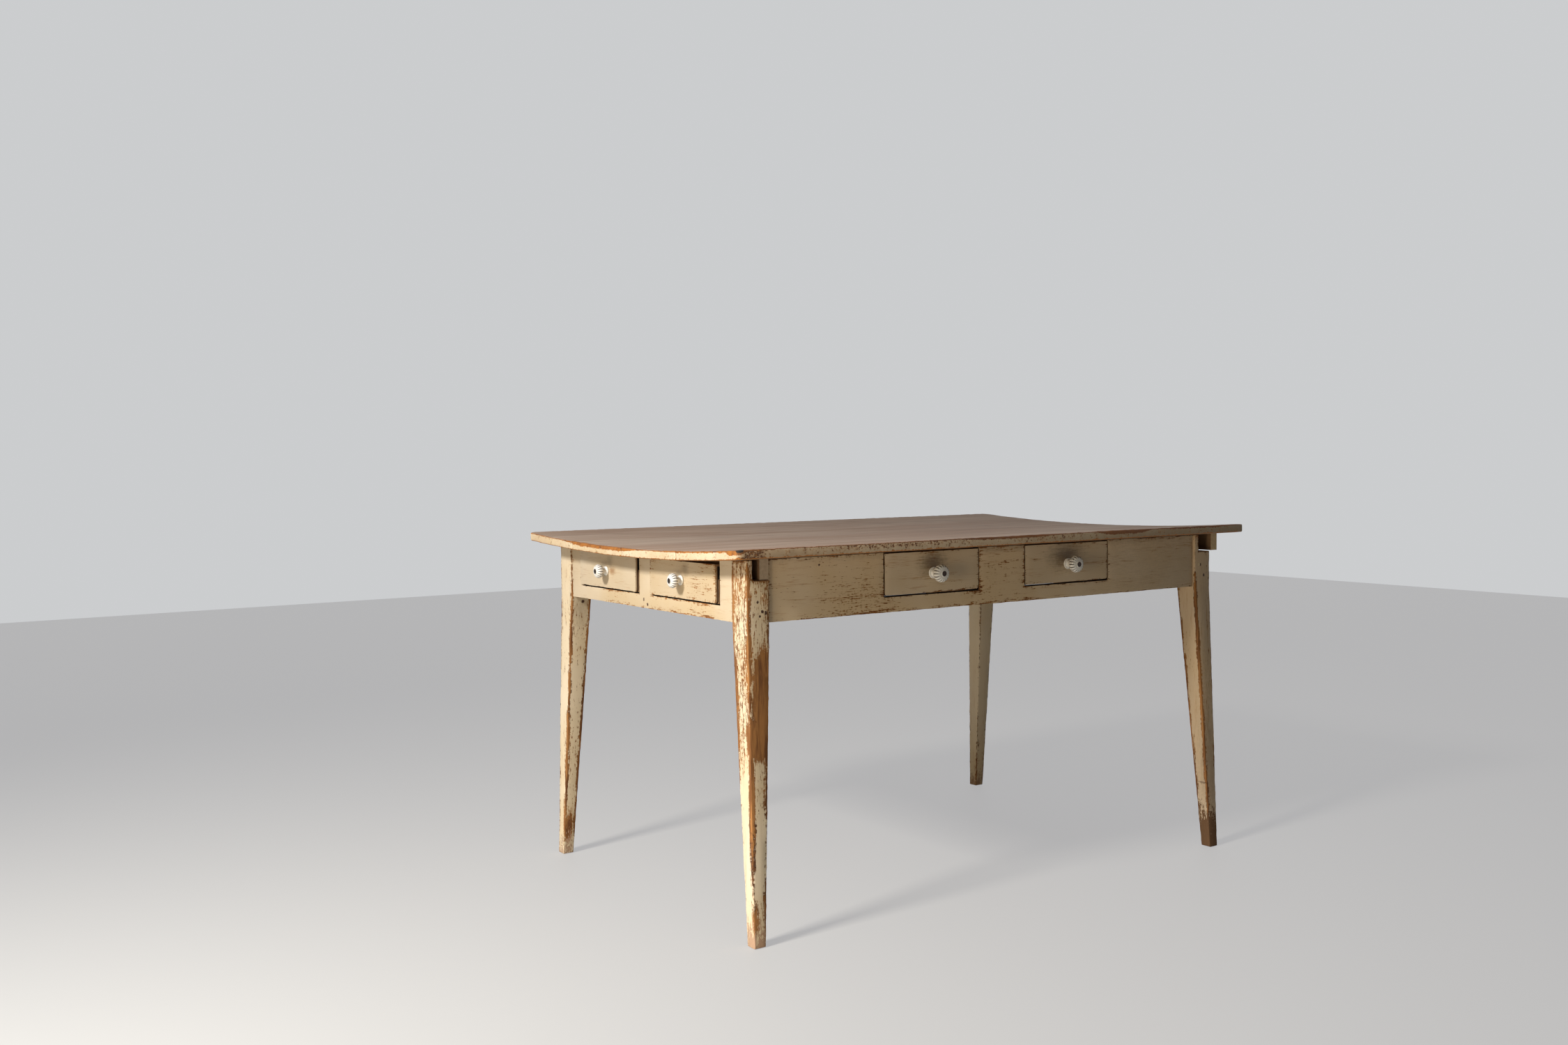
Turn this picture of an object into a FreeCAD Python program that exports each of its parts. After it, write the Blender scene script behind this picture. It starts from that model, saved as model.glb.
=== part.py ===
import FreeCAD, Part
import math
import os
import Sketcher
from FreeCAD import Placement, Rotation, Vector

# Kitchen table with drawers: a cupped plank top on two battens, a frame of four tapered legs and
# four aprons, two drawers in the front apron and two in the left-end apron.
# Millimetres; X runs along the table, +Y to the back, Z up, the origin on the floor at the frame's centre.

BOARDS = 4

SIZES = [
    # the top, and how far it stands out past the leg frame
    ("top_length", 1410), ("top_width", 910), ("top_thick", 20.5), ("top_height", 760),
    ("top_cup", 16),            # how far the middle of the top lies below its long edges
    ("overhang_left", 53), ("overhang_right", 65), ("overhang_front", 50), ("overhang_back", 58),
    ("top_corner", 14), ("top_arris", 4),
    # battens under the top
    ("batten_thick", 20), ("batten_end_inset", 1), ("batten_leg_gap", 2), ("batten_off_leg", 5),
    ("nail_thick", 4), ("nail_length", 38), ("nail_sink", 2), ("nail_gap", 0.1), ("nail_edge", 85),
    # legs
    ("leg_head_x", 51), ("leg_head_y", 57), ("leg_foot_x", 27), ("leg_foot_y", 27.5), ("leg_arris", 2.5), ("leg_head_arris", 2),
    ("kick_x_front_left", 1), ("kick_y_front_left", 14),
    ("kick_x_front_right", -3), ("kick_y_front_right", 28),
    ("kick_x_back_left", -4), ("kick_y_back_left", 46),
    ("kick_x_back_right", -9), ("kick_y_back_right", 17),
    ("notch_drop", 63), ("notch_cheek", 14),
    # aprons, their tenons and pegs
    ("apron_drop", 147), ("apron_thick", 24), ("front_recess", 7), ("end_recess", 2),
    ("scribe_gap", 0.2),
    ("tenon_thick", 10), ("tenon_low", 12), ("tenon_high", 7), ("long_tenon", 26), ("end_tenon", 36),
    ("mortise_gap", 0.1), ("mortise_spare", 1),
    ("peg_dia", 8), ("peg_length", 34), ("peg_gap", 0.1), ("long_peg_lift", 8), ("end_peg_lift", -8),
    # drawers
    ("face_thick", 22), ("face_lap", 14), ("face_corner", 6), ("face_top_gap", 1.5),
    ("side_thick", 12), ("back_thick", 12), ("base_thick", 6),
    ("groove_up", 8), ("groove_depth", 6), ("groove_gap", 0.1),
    ("front_drawer_width", 248), ("front_drawer_depth", 420), ("front_drawer_drop", 113),
    ("front_side_gap", 2), ("front_divider", 128), ("kicker_gap", 4),
    ("end_drawer_drop", 115), ("end_proud", 4.5),
    ("end_gap_rear", 2), ("end_gap_near", 7), ("end_divider", 52), ("end_stile", 46), ("batten_pass", 5),
    ("opening_gap", 2),
    # runners, bearer and stops
    ("slide_gap", 0.3), ("runner_height", 18), ("ledge_width", 14),
    ("guide_gap", 1), ("guide_thick", 10), ("guide_height", 16),
    ("bearer_thick", 18), ("bearer_drop", 140), ("bearer_height", 62), ("bearer_gap", 9),
    ("stop_thick", 8), ("stop_height", 12), ("stop_gap", 0.3),
    # knobs and their bolts
    ("front_knob_dia", 37), ("front_knob_widest", 26), ("front_knob_base", 24), ("front_knob_stem", 15),
    ("front_knob_up", 41),
    ("end_knob_dia", 30.5), ("end_knob_widest", 19.5), ("end_knob_base", 21), ("end_knob_stem", 13),
    ("end_knob_up", 38),
    ("knob_base_thick", 3), ("knob_flare", 0.35), ("knob_ring", 7.8), ("knob_ring_rise", 1.2), ("knob_seat", 1),
    ("flute_depth", 0.09), ("lobe_flat", 0.45),     # shares of the head's radius and of a lobe's width
    ("bolt_dia", 5), ("bolt_head_dia", 10.8), ("bolt_head_rise", 2), ("bolt_gap", 0.2),
    ("bolt_spare", 3), ("nut_flats", 9), ("nut_height", 4),
]
FLUTES = 16
RIM_TURNS = (-50, -18, 18, 50)     # where the head's rim is sectioned, in degrees from its widest plane
PEG_SIDES = 8          # the pegs are whittled eight-sided

doc = FreeCAD.newDocument("kitchen_table")
sheet = doc.addObject("Spreadsheet::Sheet", "dims")
for row, (alias, number) in enumerate(SIZES, start=1):
    sheet.set("A%d" % row, alias)
    sheet.set("B%d" % row, str(number))
    sheet.setAlias("B%d" % row, alias)
doc.recompute()


class Size:
    """A length written as an expression on the sheet, so that sums of sizes stay bound to its cells."""

    def __init__(self, text):
        self.text = str(text)

    def __str__(self):
        return self.text

    def __add__(self, other):
        return Size("(%s + %s)" % (self, other))

    def __radd__(self, other):
        return Size("(%s + %s)" % (other, self))

    def __sub__(self, other):
        return Size("(%s - %s)" % (self, other))

    def __rsub__(self, other):
        return Size("(%s - %s)" % (other, self))

    def __mul__(self, other):
        return Size("(%s * %s)" % (self, other))

    __rmul__ = __mul__

    def __truediv__(self, other):
        return Size("(%s / %s)" % (self, other))

    def __neg__(self):
        return Size("(0 - %s)" % self)

    def root(self):
        return Size("sqrt(%s)" % self)

    def value(self):
        return float(sheet.evalExpression(self.text))


class Sheet:
    """Gives each cell of the sheet as a Size."""

    def __getattr__(self, alias):
        return Size("dims." + alias)


d = Sheet()
zero = Size("0")
nodes = []


def value(size):
    return size.value() if isinstance(size, Size) else float(size)


def bind(thing, **sizes):
    for name, size in sizes.items():
        thing.setExpression(name, str(size))


def put(thing, x=zero, y=zero, z=zero, turn=None):
    """Places an object at x, y, z, turned by a Rotation."""
    thing.Placement = Placement(Vector(value(x), value(y), value(z)), turn or Rotation())
    for axis, size in zip("xyz", (x, y, z)):
        thing.setExpression("Placement.Base." + axis, str(size))


def node(name, thing):
    thing.Label = name
    nodes.append(thing)
    return thing


def new_body(name):
    return node(name, doc.addObject("PartDesign::Body", name))


def compound(name, things):
    group = doc.addObject("Part::Compound", name)
    group.Links = things
    return node(name, group)


# ---- features of a body

def block(body, kind, x, y, z):
    """Adds or takes away a box; x, y and z are pairs of sizes, low and high."""
    box = body.newObject("PartDesign::%sBox" % kind, "%s_%s_box" % (body.Name, kind.lower()))
    bind(box, Length=x[1] - x[0], Width=y[1] - y[0], Height=z[1] - z[0])
    put(box, x[0], y[0], z[0])
    return box


def along(axis):
    """Rotation that lays something made along Z along another axis."""
    return {"x": Rotation(Vector(0, 1, 0), 90), "-x": Rotation(Vector(0, 1, 0), -90),
            "y": Rotation(Vector(1, 0, 0), -90), "-y": Rotation(Vector(1, 0, 0), 90), "z": Rotation()}[axis]


def rod(body, kind, axis, radius, start, length):
    """Adds or takes away a cylinder that starts at a point and runs along an axis."""
    cylinder = body.newObject("PartDesign::%sCylinder" % kind, "%s_%s_rod" % (body.Name, kind.lower()))
    bind(cylinder, Radius=radius, Height=length)
    put(cylinder, *start, turn=along(axis))
    return cylinder


def peg_hole(body, axis, start, length):
    hole = body.newObject("PartDesign::SubtractivePrism", body.Name + "_peg_hole")
    hole.Polygon = PEG_SIDES
    bind(hole, Circumradius=d.peg_dia / 2 + d.peg_gap, Height=length)
    put(hole, *start, turn=along(axis))


def new_sketch(body, name, role, height=None):
    sketch = body.newObject("Sketcher::SketchObject", body.Name + "_" + name)
    plane = [part for part in body.Origin.OriginFeatures if part.Role == role][0]
    sketch.AttachmentSupport = (plane, [""])
    sketch.MapMode = "FlatFace"
    if height is not None:
        sketch.setExpression("AttachmentOffset.Base.z", str(height))
    return sketch


def fix(sketch, index, point, x=None, y=None):
    """Holds a point of a sketch's edge at coordinates bound to the sheet."""
    for kind, size in (("DistanceX", x), ("DistanceY", y)):
        if size is not None:
            number = sketch.addConstraint(Sketcher.Constraint(kind, -1, 1, index, point, value(size)))
            sketch.setExpression("Constraints[%d]" % number, str(size))


def polygon(sketch, corners):
    """Closed run of straight edges through corners given as pairs of sizes."""
    points = [Vector(value(x), value(y), 0) for x, y in corners]
    first = sketch.GeometryCount
    count = len(points)
    for i in range(count):
        sketch.addGeometry(Part.LineSegment(points[i], points[(i + 1) % count]))
    for i in range(count):
        sketch.addConstraint(Sketcher.Constraint("Coincident", first + i, 2, first + (i + 1) % count, 1))
    for i, (x, y) in enumerate(corners):
        fix(sketch, first + i, 1, x, y)


def eased_rectangle(sketch, x, y, ease):
    """Rectangle with its corners eased off; x and y are pairs of sizes, low and high."""
    polygon(sketch, [(x[0] + ease, y[0]), (x[1] - ease, y[0]), (x[1], y[0] + ease), (x[1], y[1] - ease),
                     (x[1] - ease, y[1]), (x[0] + ease, y[1]), (x[0], y[1] - ease), (x[0], y[0] + ease)])


def revolve(body, sketch):
    feature = body.newObject("PartDesign::Revolution", body.Name + "_revolution")
    feature.Profile = sketch
    feature.ReferenceAxis = (sketch, ["V_Axis"])
    feature.Angle = 360
    doc.recompute()
    return feature


def pad(body, sketch, length, both_ways=False):
    feature = body.newObject("PartDesign::Pad", body.Name + "_pad")
    feature.Profile = sketch
    feature.setExpression("Length", str(length))
    if both_ways:
        feature.SideType = "Symmetric"
    return feature


def edges_where(feature, test):
    """Names of the edges of a feature's shape for which the test holds."""
    doc.recompute()
    return ["Edge%d" % (i + 1) for i, edge in enumerate(feature.Shape.Edges) if test(edge)]


def fillet(body, base, radius, test):
    feature = body.newObject("PartDesign::Fillet", body.Name + "_fillet")
    feature.Base = (base, edges_where(base, test))
    feature.setExpression("Radius", str(radius))
    doc.recompute()
    return feature


def chamfer(body, base, size, test):
    feature = body.newObject("PartDesign::Chamfer", body.Name + "_chamfer")
    feature.Base = (base, edges_where(base, test))
    feature.setExpression("Size", str(size))
    doc.recompute()
    return feature


# ---- shared lines of the table

frame_length = d.top_length - d.overhang_left - d.overhang_right
frame_width = d.top_width - d.overhang_front - d.overhang_back
top_shift_x = (d.overhang_right - d.overhang_left) / 2       # of the top's middle from the frame's
top_shift_y = (d.overhang_back - d.overhang_front) / 2

# Levels under the top, each measured down from the height of its long edges.
notch_floor = d.top_height - d.notch_drop
apron_bottom = d.top_height - d.apron_drop
front_drawer_bottom = d.top_height - d.front_drawer_drop
end_drawer_bottom = d.top_height - d.end_drawer_drop
bearer_low = d.top_height - d.bearer_drop

# The top is cupped to an arc about an axis high above the table.
cup_radius = ((d.top_width / 2) * (d.top_width / 2) + d.top_cup * d.top_cup) / (2 * d.top_cup)
cup_axis = d.top_height - d.top_cup + cup_radius
under_radius = cup_radius + d.top_thick


def underside(y):
    """Height of the underside of the top over a line at y."""
    off = y - top_shift_y
    return cup_axis - (under_radius * under_radius - off * off).root()


def scribe(body):
    """Takes away all that lies above the underside of the top."""
    rod(body, "Subtractive", "x", under_radius + d.scribe_gap,
        (-d.top_length, top_shift_y, cup_axis), 2 * d.top_length)


leg_out_x = frame_length / 2
leg_out_y = frame_width / 2
leg_in_x = leg_out_x - d.leg_head_x
leg_in_y = leg_out_y - d.leg_head_y
long_out = leg_out_y - d.front_recess       # outer faces of the front and back aprons
long_in = long_out - d.apron_thick
end_out = leg_out_x - d.end_recess          # outer faces of the end aprons
end_in = end_out - d.apron_thick
tenon_z = (apron_bottom + d.tenon_low, notch_floor - d.tenon_high)
tenon_mid = (tenon_z[0] + tenon_z[1]) / 2
long_tenon_y = (long_in + (d.apron_thick - d.tenon_thick) / 2, long_out - (d.apron_thick - d.tenon_thick) / 2)
end_tenon_x = (end_in + (d.apron_thick - d.tenon_thick) / 2, end_out - (d.apron_thick - d.tenon_thick) / 2)
long_peg_x = leg_in_x + d.long_tenon / 2
end_peg_y = leg_in_y + d.end_tenon / 2
long_peg_z = tenon_mid + d.long_peg_lift
end_peg_z = tenon_mid + d.end_peg_lift

left_batten_x = (d.batten_leg_gap * -1 - leg_in_x - d.batten_thick, -leg_in_x - d.batten_leg_gap)
right_batten_x = (leg_out_x + d.batten_off_leg, leg_out_x + d.batten_off_leg + d.batten_thick)
batten_y = leg_out_y - d.batten_end_inset
nail_x = [(pair[0] + pair[1]) / 2 for pair in (left_batten_x, right_batten_x)]
nail_low = notch_floor + d.nail_sink
board_width = d.top_width / BOARDS

front_centre = d.front_divider / 2 + d.front_side_gap + d.front_drawer_width / 2
front_opening = d.front_drawer_width / 2 + d.front_side_gap
end_opening_in = d.end_divider / 2
end_opening_out = leg_in_y - d.end_stile
end_drawer_width = end_opening_out - end_opening_in - d.end_gap_near - d.end_gap_rear
near_centre = -end_opening_in - d.end_gap_rear - end_drawer_width / 2
far_centre = end_opening_in + d.end_gap_near + end_drawer_width / 2
end_face_x = -end_out - d.end_proud
bearer_x = (-front_centre - d.front_drawer_width / 2 - d.guide_gap - d.guide_thick - d.bearer_gap
            - d.bearer_thick,
            -front_centre - d.front_drawer_width / 2 - d.guide_gap - d.guide_thick - d.bearer_gap)
end_depth = bearer_x[0] - d.stop_thick - d.stop_gap - end_face_x
front_side_height = underside(top_shift_y) - d.kicker_gap - front_drawer_bottom
end_side_height = notch_floor - d.batten_pass - end_drawer_bottom
front_face_height = (underside(-long_out + d.face_thick) - d.face_top_gap - front_drawer_bottom)
end_face_height = (underside(top_shift_y) - d.face_top_gap - end_drawer_bottom)


# ---- the top

def flip(pair, sign):
    """A pair of sizes on one side of the middle, or mirrored to the other side."""
    return pair if sign > 0 else (-pair[1], -pair[0])


def nail_line(board):
    """Distance from the frame's middle line to a board's nails."""
    side = 1 if 2 * board >= BOARDS else -1
    boards_in = board - BOARDS // 2 if side > 0 else BOARDS // 2 - 1 - board
    return side * (boards_in * board_width + d.nail_edge) + top_shift_y


def nail_box(x, board, spare):
    """The room of a nail, as pairs of sizes along X, Y and Z, with some to spare round it."""
    half = d.nail_thick / 2 + spare
    y = nail_line(board)
    return (x - half, x + half), (y - half, y + half), (nail_low, nail_low + d.nail_length + spare)


def make_board(index):
    body = new_body("top_board_%d" % (index + 1))
    low = top_shift_y - d.top_width / 2 + board_width * index
    high = low + board_width
    sketch = new_sketch(body, "section", "YZ_Plane")
    centre = Vector(value(top_shift_y), value(cup_axis), 0)
    y0, y1 = value(low), value(high)

    def on_arc(y, radius):
        return Vector(y, centre.y - math.sqrt(radius ** 2 - (y - centre.x) ** 2), 0)

    def arc(radius):
        turn = [math.atan2(on_arc(y, radius).y - centre.y, y - centre.x) for y in (y0, y1)]
        return Part.ArcOfCircle(Part.Circle(centre, Vector(0, 0, 1), radius), *turn)

    upper, lower = value(cup_radius), value(under_radius)
    sketch.addGeometry(arc(upper))
    sketch.addGeometry(arc(lower))
    sketch.addGeometry(Part.LineSegment(on_arc(y0, upper), on_arc(y0, lower)))
    sketch.addGeometry(Part.LineSegment(on_arc(y1, upper), on_arc(y1, lower)))
    for line, end in ((2, 1), (3, 2)):
        sketch.addConstraint(Sketcher.Constraint("Coincident", line, 1, 0, end))
        sketch.addConstraint(Sketcher.Constraint("Coincident", line, 2, 1, end))
        sketch.addConstraint(Sketcher.Constraint("Vertical", line))
    for curve, radius in ((0, cup_radius), (1, under_radius)):
        fix(sketch, curve, 3, top_shift_y, cup_axis)
        number = sketch.addConstraint(Sketcher.Constraint("Radius", curve, value(radius)))
        sketch.setExpression("Constraints[%d]" % number, str(radius))
    fix(sketch, 2, 1, x=low)
    fix(sketch, 3, 1, x=high)
    plank = pad(body, sketch, d.top_length, both_ways=True)
    last = plank
    outer = low if index == 0 else high
    outside = index in (0, BOARDS - 1)
    half = value(d.top_length) / 2
    edge_y = value(outer)
    corner = value(d.top_corner)

    def at_end(box):
        return box.XLength < 0.01 and abs(abs(box.XMin) - half) < 0.01

    def at_side(box):
        return outside and box.YLength < 0.01 and abs(box.YMin - edge_y) < 0.01

    def is_corner(edge):
        return at_end(edge.BoundBox) and at_side(edge.BoundBox)

    def is_arris(edge):
        box = edge.BoundBox
        turned = outside and abs(box.XLength - corner) < 0.01 and abs(box.YLength - corner) < 0.01
        upright = box.XLength < 0.01 and box.YLength < 0.01
        return not upright and (at_end(box) or at_side(box) or turned)

    if outside:
        last = fillet(body, last, d.top_corner, is_corner)
    fillet(body, last, d.top_arris, is_arris)
    for x in nail_x:
        block(body, "Subtractive", *nail_box(x - top_shift_x, index, d.nail_gap))
    put(body, top_shift_x)
    return body


def make_batten(name, x):
    body = new_body(name)
    block(body, "Additive", x, (-batten_y, batten_y), (notch_floor, d.top_height))
    scribe(body)
    for board in range(BOARDS):
        nail = nail_box((x[0] + x[1]) / 2, board, d.nail_gap)
        block(body, "Subtractive", nail[0], nail[1], (notch_floor, nail[2][1]))
    return body


def make_batten_nails():
    nails = []
    for x in nail_x:
        for board in range(BOARDS):
            nail = doc.addObject("Part::Box", "batten_nail_%d" % (len(nails) + 1))
            room = nail_box(x, board, zero)
            bind(nail, Length=d.nail_thick, Width=d.nail_thick, Height=d.nail_length)
            put(nail, room[0][0], room[1][0], nail_low)
            nails.append(nail)
    return compound("batten_nails", nails)


# ---- legs and aprons

def make_leg(name, side_x, side_y):
    body = new_body("leg_" + name)
    head_x = flip((leg_in_x, leg_out_x), side_x)
    head_y = flip((leg_in_y, leg_out_y), side_y)
    foot_out_x = leg_out_x + getattr(d, "kick_x_" + name)
    foot_out_y = leg_out_y + getattr(d, "kick_y_" + name)
    foot_x = flip((foot_out_x - d.leg_foot_x, foot_out_x), side_x)
    foot_y = flip((foot_out_y - d.leg_foot_y, foot_out_y), side_y)
    # The taper is a wedge made along its own Y, stood up so that its Z runs towards -Y.
    taper = body.newObject("PartDesign::AdditiveWedge", body.Name + "_taper")
    bind(taper, Ymin=zero, Ymax=apron_bottom, Xmin=foot_x[0], Xmax=foot_x[1], Zmin=-foot_y[1], Zmax=-foot_y[0],
         X2min=head_x[0], X2max=head_x[1], Z2min=-head_y[1], Z2max=-head_y[0])
    taper.Placement = Placement(Vector(0, 0, 0), Rotation(Vector(1, 0, 0), 90))
    chamfer(body, taper, d.leg_arris, lambda e: e.BoundBox.ZLength > value(apron_bottom) - 1)
    head = new_sketch(body, "head", "XY_Plane", apron_bottom)
    eased_rectangle(head, head_x, head_y, d.leg_head_arris)
    pad(body, head, d.top_height - apron_bottom)
    scribe(body)
    # The notch for a batten: open towards +X, with a cheek left standing on the other side.
    block(body, "Subtractive", (head_x[0] + d.notch_cheek, head_x[1] + 1), (head_y[0] - 1, head_y[1] + 1),
          (notch_floor, d.top_height + 1))
    mortise_z = (tenon_z[0] - d.mortise_gap, tenon_z[1] + d.mortise_gap)
    block(body, "Subtractive", flip((leg_in_x, leg_in_x + d.long_tenon + d.mortise_spare), side_x),
          flip((long_tenon_y[0] - d.mortise_gap, long_tenon_y[1] + d.mortise_gap), side_y), mortise_z)
    block(body, "Subtractive", flip((end_tenon_x[0] - d.mortise_gap, end_tenon_x[1] + d.mortise_gap), side_x),
          flip((leg_in_y, leg_in_y + d.end_tenon + d.mortise_spare), side_y), mortise_z)
    for start, axis in peg_places(side_x, side_y):
        peg_hole(body, axis, start, d.peg_length + d.peg_gap)
    return body


def peg_places(side_x, side_y):
    """Where each peg of a leg starts on its outer faces, and which way it is driven."""
    return [((side_x * long_peg_x, side_y * leg_out_y, long_peg_z), "-y" if side_y > 0 else "y"),
            ((side_x * leg_out_x, side_y * end_peg_y, end_peg_z), "-x" if side_x > 0 else "x")]


def make_pegs():
    pegs = []
    for side_x in (-1, 1):
        for side_y in (-1, 1):
            for start, axis in peg_places(side_x, side_y):
                peg = doc.addObject("Part::Prism", "joint_peg_%d" % (len(pegs) + 1))
                peg.Polygon = PEG_SIDES
                bind(peg, Circumradius=d.peg_dia / 2, Height=d.peg_length)
                put(peg, *start, turn=along(axis))
                pegs.append(peg)
    return compound("joint_pegs", pegs)


def make_long_apron(name, side, openings):
    """The front or back apron, with a tenon at each end and any openings for drawers."""
    body = new_body(name)
    block(body, "Additive", (-leg_in_x, leg_in_x), flip((long_in, long_out), side),
          (apron_bottom, d.top_height))
    scribe(body)
    for centre in openings:
        block(body, "Subtractive", (centre - front_opening, centre + front_opening),
              flip((long_in - 1, long_out + 1), side), (front_drawer_bottom - d.opening_gap, d.top_height))
    for end in (-1, 1):
        block(body, "Additive", flip((leg_in_x, leg_in_x + d.long_tenon), end), flip(long_tenon_y, side), tenon_z)
        peg_hole(body, "y", (end * long_peg_x, flip((long_in, long_out), side)[0], long_peg_z), d.apron_thick)
    return body


def make_end_apron(name, side, openings):
    """The left or right apron; the openings are pairs of sizes along Y."""
    body = new_body(name)
    block(body, "Additive", flip((end_in, end_out), side), (-leg_in_y, leg_in_y),
          (apron_bottom, d.top_height))
    scribe(body)
    for opening in openings:
        block(body, "Subtractive", flip((end_in - 1, end_out + 1), side), opening,
              (end_drawer_bottom - d.opening_gap, d.top_height))
    for end in (-1, 1):
        block(body, "Additive", flip(end_tenon_x, side), flip((leg_in_y, leg_in_y + d.end_tenon), end), tenon_z)
        peg_hole(body, "x", (flip((end_in, end_out), side)[0], end * end_peg_y, end_peg_z), d.apron_thick)
    return body


# ---- runners, bearer and stops

def runner_section(centre, width, bottom, side):
    """L-shaped section of a runner: a ledge under a drawer's side and a guide beside it."""
    edge = width / 2
    top = bottom - d.slide_gap
    low = top - d.runner_height
    across = [edge - d.ledge_width, edge + d.guide_gap + d.guide_thick, edge + d.guide_gap]
    ledge_in, guide_out, guide_in = [centre + side * size for size in across]
    return [(ledge_in, low), (guide_out, low), (guide_out, top + d.guide_height),
            (guide_in, top + d.guide_height), (guide_in, top), (ledge_in, top)]


def make_front_runner(index, centre, side):
    body = new_body("front_drawer_runner_%d" % index)
    sketch = new_sketch(body, "section", "XZ_Plane")
    polygon(sketch, runner_section(centre, d.front_drawer_width, front_drawer_bottom, side))
    pad(body, sketch, 2 * long_in, both_ways=True)
    return body


def make_end_runner(index, centre, side):
    body = new_body("end_drawer_runner_%d" % index)
    sketch = new_sketch(body, "section", "YZ_Plane")
    polygon(sketch, runner_section(centre, end_drawer_width, end_drawer_bottom, side))
    pad(body, sketch, bearer_x[0] + end_in)
    put(body, -end_in)
    return body


def make_bearer():
    bearer = doc.addObject("Part::Box", "cross_bearer")
    bind(bearer, Length=d.bearer_thick, Width=2 * long_in, Height=d.bearer_height)
    put(bearer, bearer_x[0], -long_in, bearer_low)
    return node("cross_bearer", bearer)


def make_stops():
    """A block on each runner's ledge behind the drawer's side."""
    stops = []

    def stop(x, y, z, length, width):
        block_ = doc.addObject("Part::Box", "drawer_stop_%d" % (len(stops) + 1))
        bind(block_, Length=length, Width=width, Height=d.stop_height)
        put(block_, x, y, z)
        stops.append(block_)

    for centre in (-front_centre, front_centre):
        for side in (-1, 1):
            x = flip((d.front_drawer_width / 2 - d.side_thick, d.front_drawer_width / 2), side)[0]
            stop(centre + x, -long_out + d.front_drawer_depth + d.stop_gap,
                 front_drawer_bottom - d.slide_gap, d.side_thick, d.stop_thick)
    for centre in (near_centre, far_centre):
        for side in (-1, 1):
            y = flip((end_drawer_width / 2 - d.side_thick, end_drawer_width / 2), side)[0]
            stop(bearer_x[0] - d.stop_thick, centre + y, end_drawer_bottom - d.slide_gap,
                 d.stop_thick, d.side_thick)
    return compound("drawer_stops", stops)


# ---- drawers
# Each is made in its own frame: X across, Y inwards from the outside of its face, Z up from its lower edge.

class Drawer:
    def __init__(self, name, width, depth, face_height, side_height, place, turned, knob):
        self.name = name
        self.width = width
        self.depth = depth
        self.face_height = face_height
        self.side_height = side_height
        self.place = place              # x, y and z of the drawer's own origin
        self.turned = turned            # True where the drawer faces the left end
        self.knob = knob                # sizes of its knob

    def rotation(self):
        return Rotation(Vector(0, 0, 1), -90 if self.turned else 0)

    def seat(self, thing, x=zero, y=zero, z=zero, turn=None):
        """Puts a part at a point of the drawer's own frame."""
        ox, oy, oz = self.place
        across, inwards = (y, -x) if self.turned else (x, y)
        put(thing, ox + across, oy + inwards, oz + z, self.rotation() * (turn or Rotation()))


def make_face(drawer):
    body = new_body(drawer.name + "_face")
    half = drawer.width / 2
    board = block(body, "Additive", (-half, half), (zero, d.face_thick), (zero, drawer.face_height))
    fillet(body, board, d.face_corner, lambda e: e.BoundBox.ZMax < 0.01 and e.BoundBox.XLength < 0.01)
    lap = (d.face_thick - d.face_lap, d.face_thick + 1)
    for side in (-1, 1):
        block(body, "Subtractive", flip((half - d.side_thick, half + 1), side), lap,
              (zero - 1, drawer.side_height))
    inner = half - d.side_thick
    block(body, "Subtractive", (-inner - 1, inner + 1), (d.face_thick - d.groove_depth, d.face_thick + 1),
          groove_z())
    rod(body, "Subtractive", "y", d.bolt_dia / 2 + d.bolt_gap, (zero, zero - 1, drawer.knob["up"]), d.face_thick + 2)
    drawer.seat(body)
    return body


def groove_z():
    return (d.groove_up, d.groove_up + d.base_thick + 2 * d.groove_gap)


def make_side(drawer, name, side):
    body = new_body(drawer.name + "_" + name)
    half = drawer.width / 2
    run = (d.face_thick - d.face_lap, drawer.depth)
    block(body, "Additive", flip((half - d.side_thick, half), side), run, (zero, drawer.side_height))
    block(body, "Subtractive", flip((half - d.side_thick - 1, half - d.side_thick + d.groove_depth), side),
          (run[0] - 1, run[1] + 1), groove_z())
    drawer.seat(body)
    return body


def make_plain_board(drawer, name, x, y, z):
    board = doc.addObject("Part::Box", drawer.name + "_" + name)
    bind(board, Length=x[1] - x[0], Width=y[1] - y[0], Height=z[1] - z[0])
    drawer.seat(board, x[0], y[0], z[0])
    return node(drawer.name + "_" + name, board)


def make_back_and_base(drawer):
    inner = drawer.width / 2 - d.side_thick
    groove = groove_z()
    make_plain_board(drawer, "back", (-inner, inner), (drawer.depth - d.back_thick, drawer.depth),
                     (groove[1], drawer.side_height))
    tongue = d.groove_depth - 2 * d.groove_gap
    make_plain_board(drawer, "base", (-inner - tongue, inner + tongue), (d.face_thick - tongue, drawer.depth),
                     (groove[0] + d.groove_gap, groove[1] - d.groove_gap))


outwards = Rotation(Vector(1, 0, 0), 90)     # turns +Z to point out of a drawer's face


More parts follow.
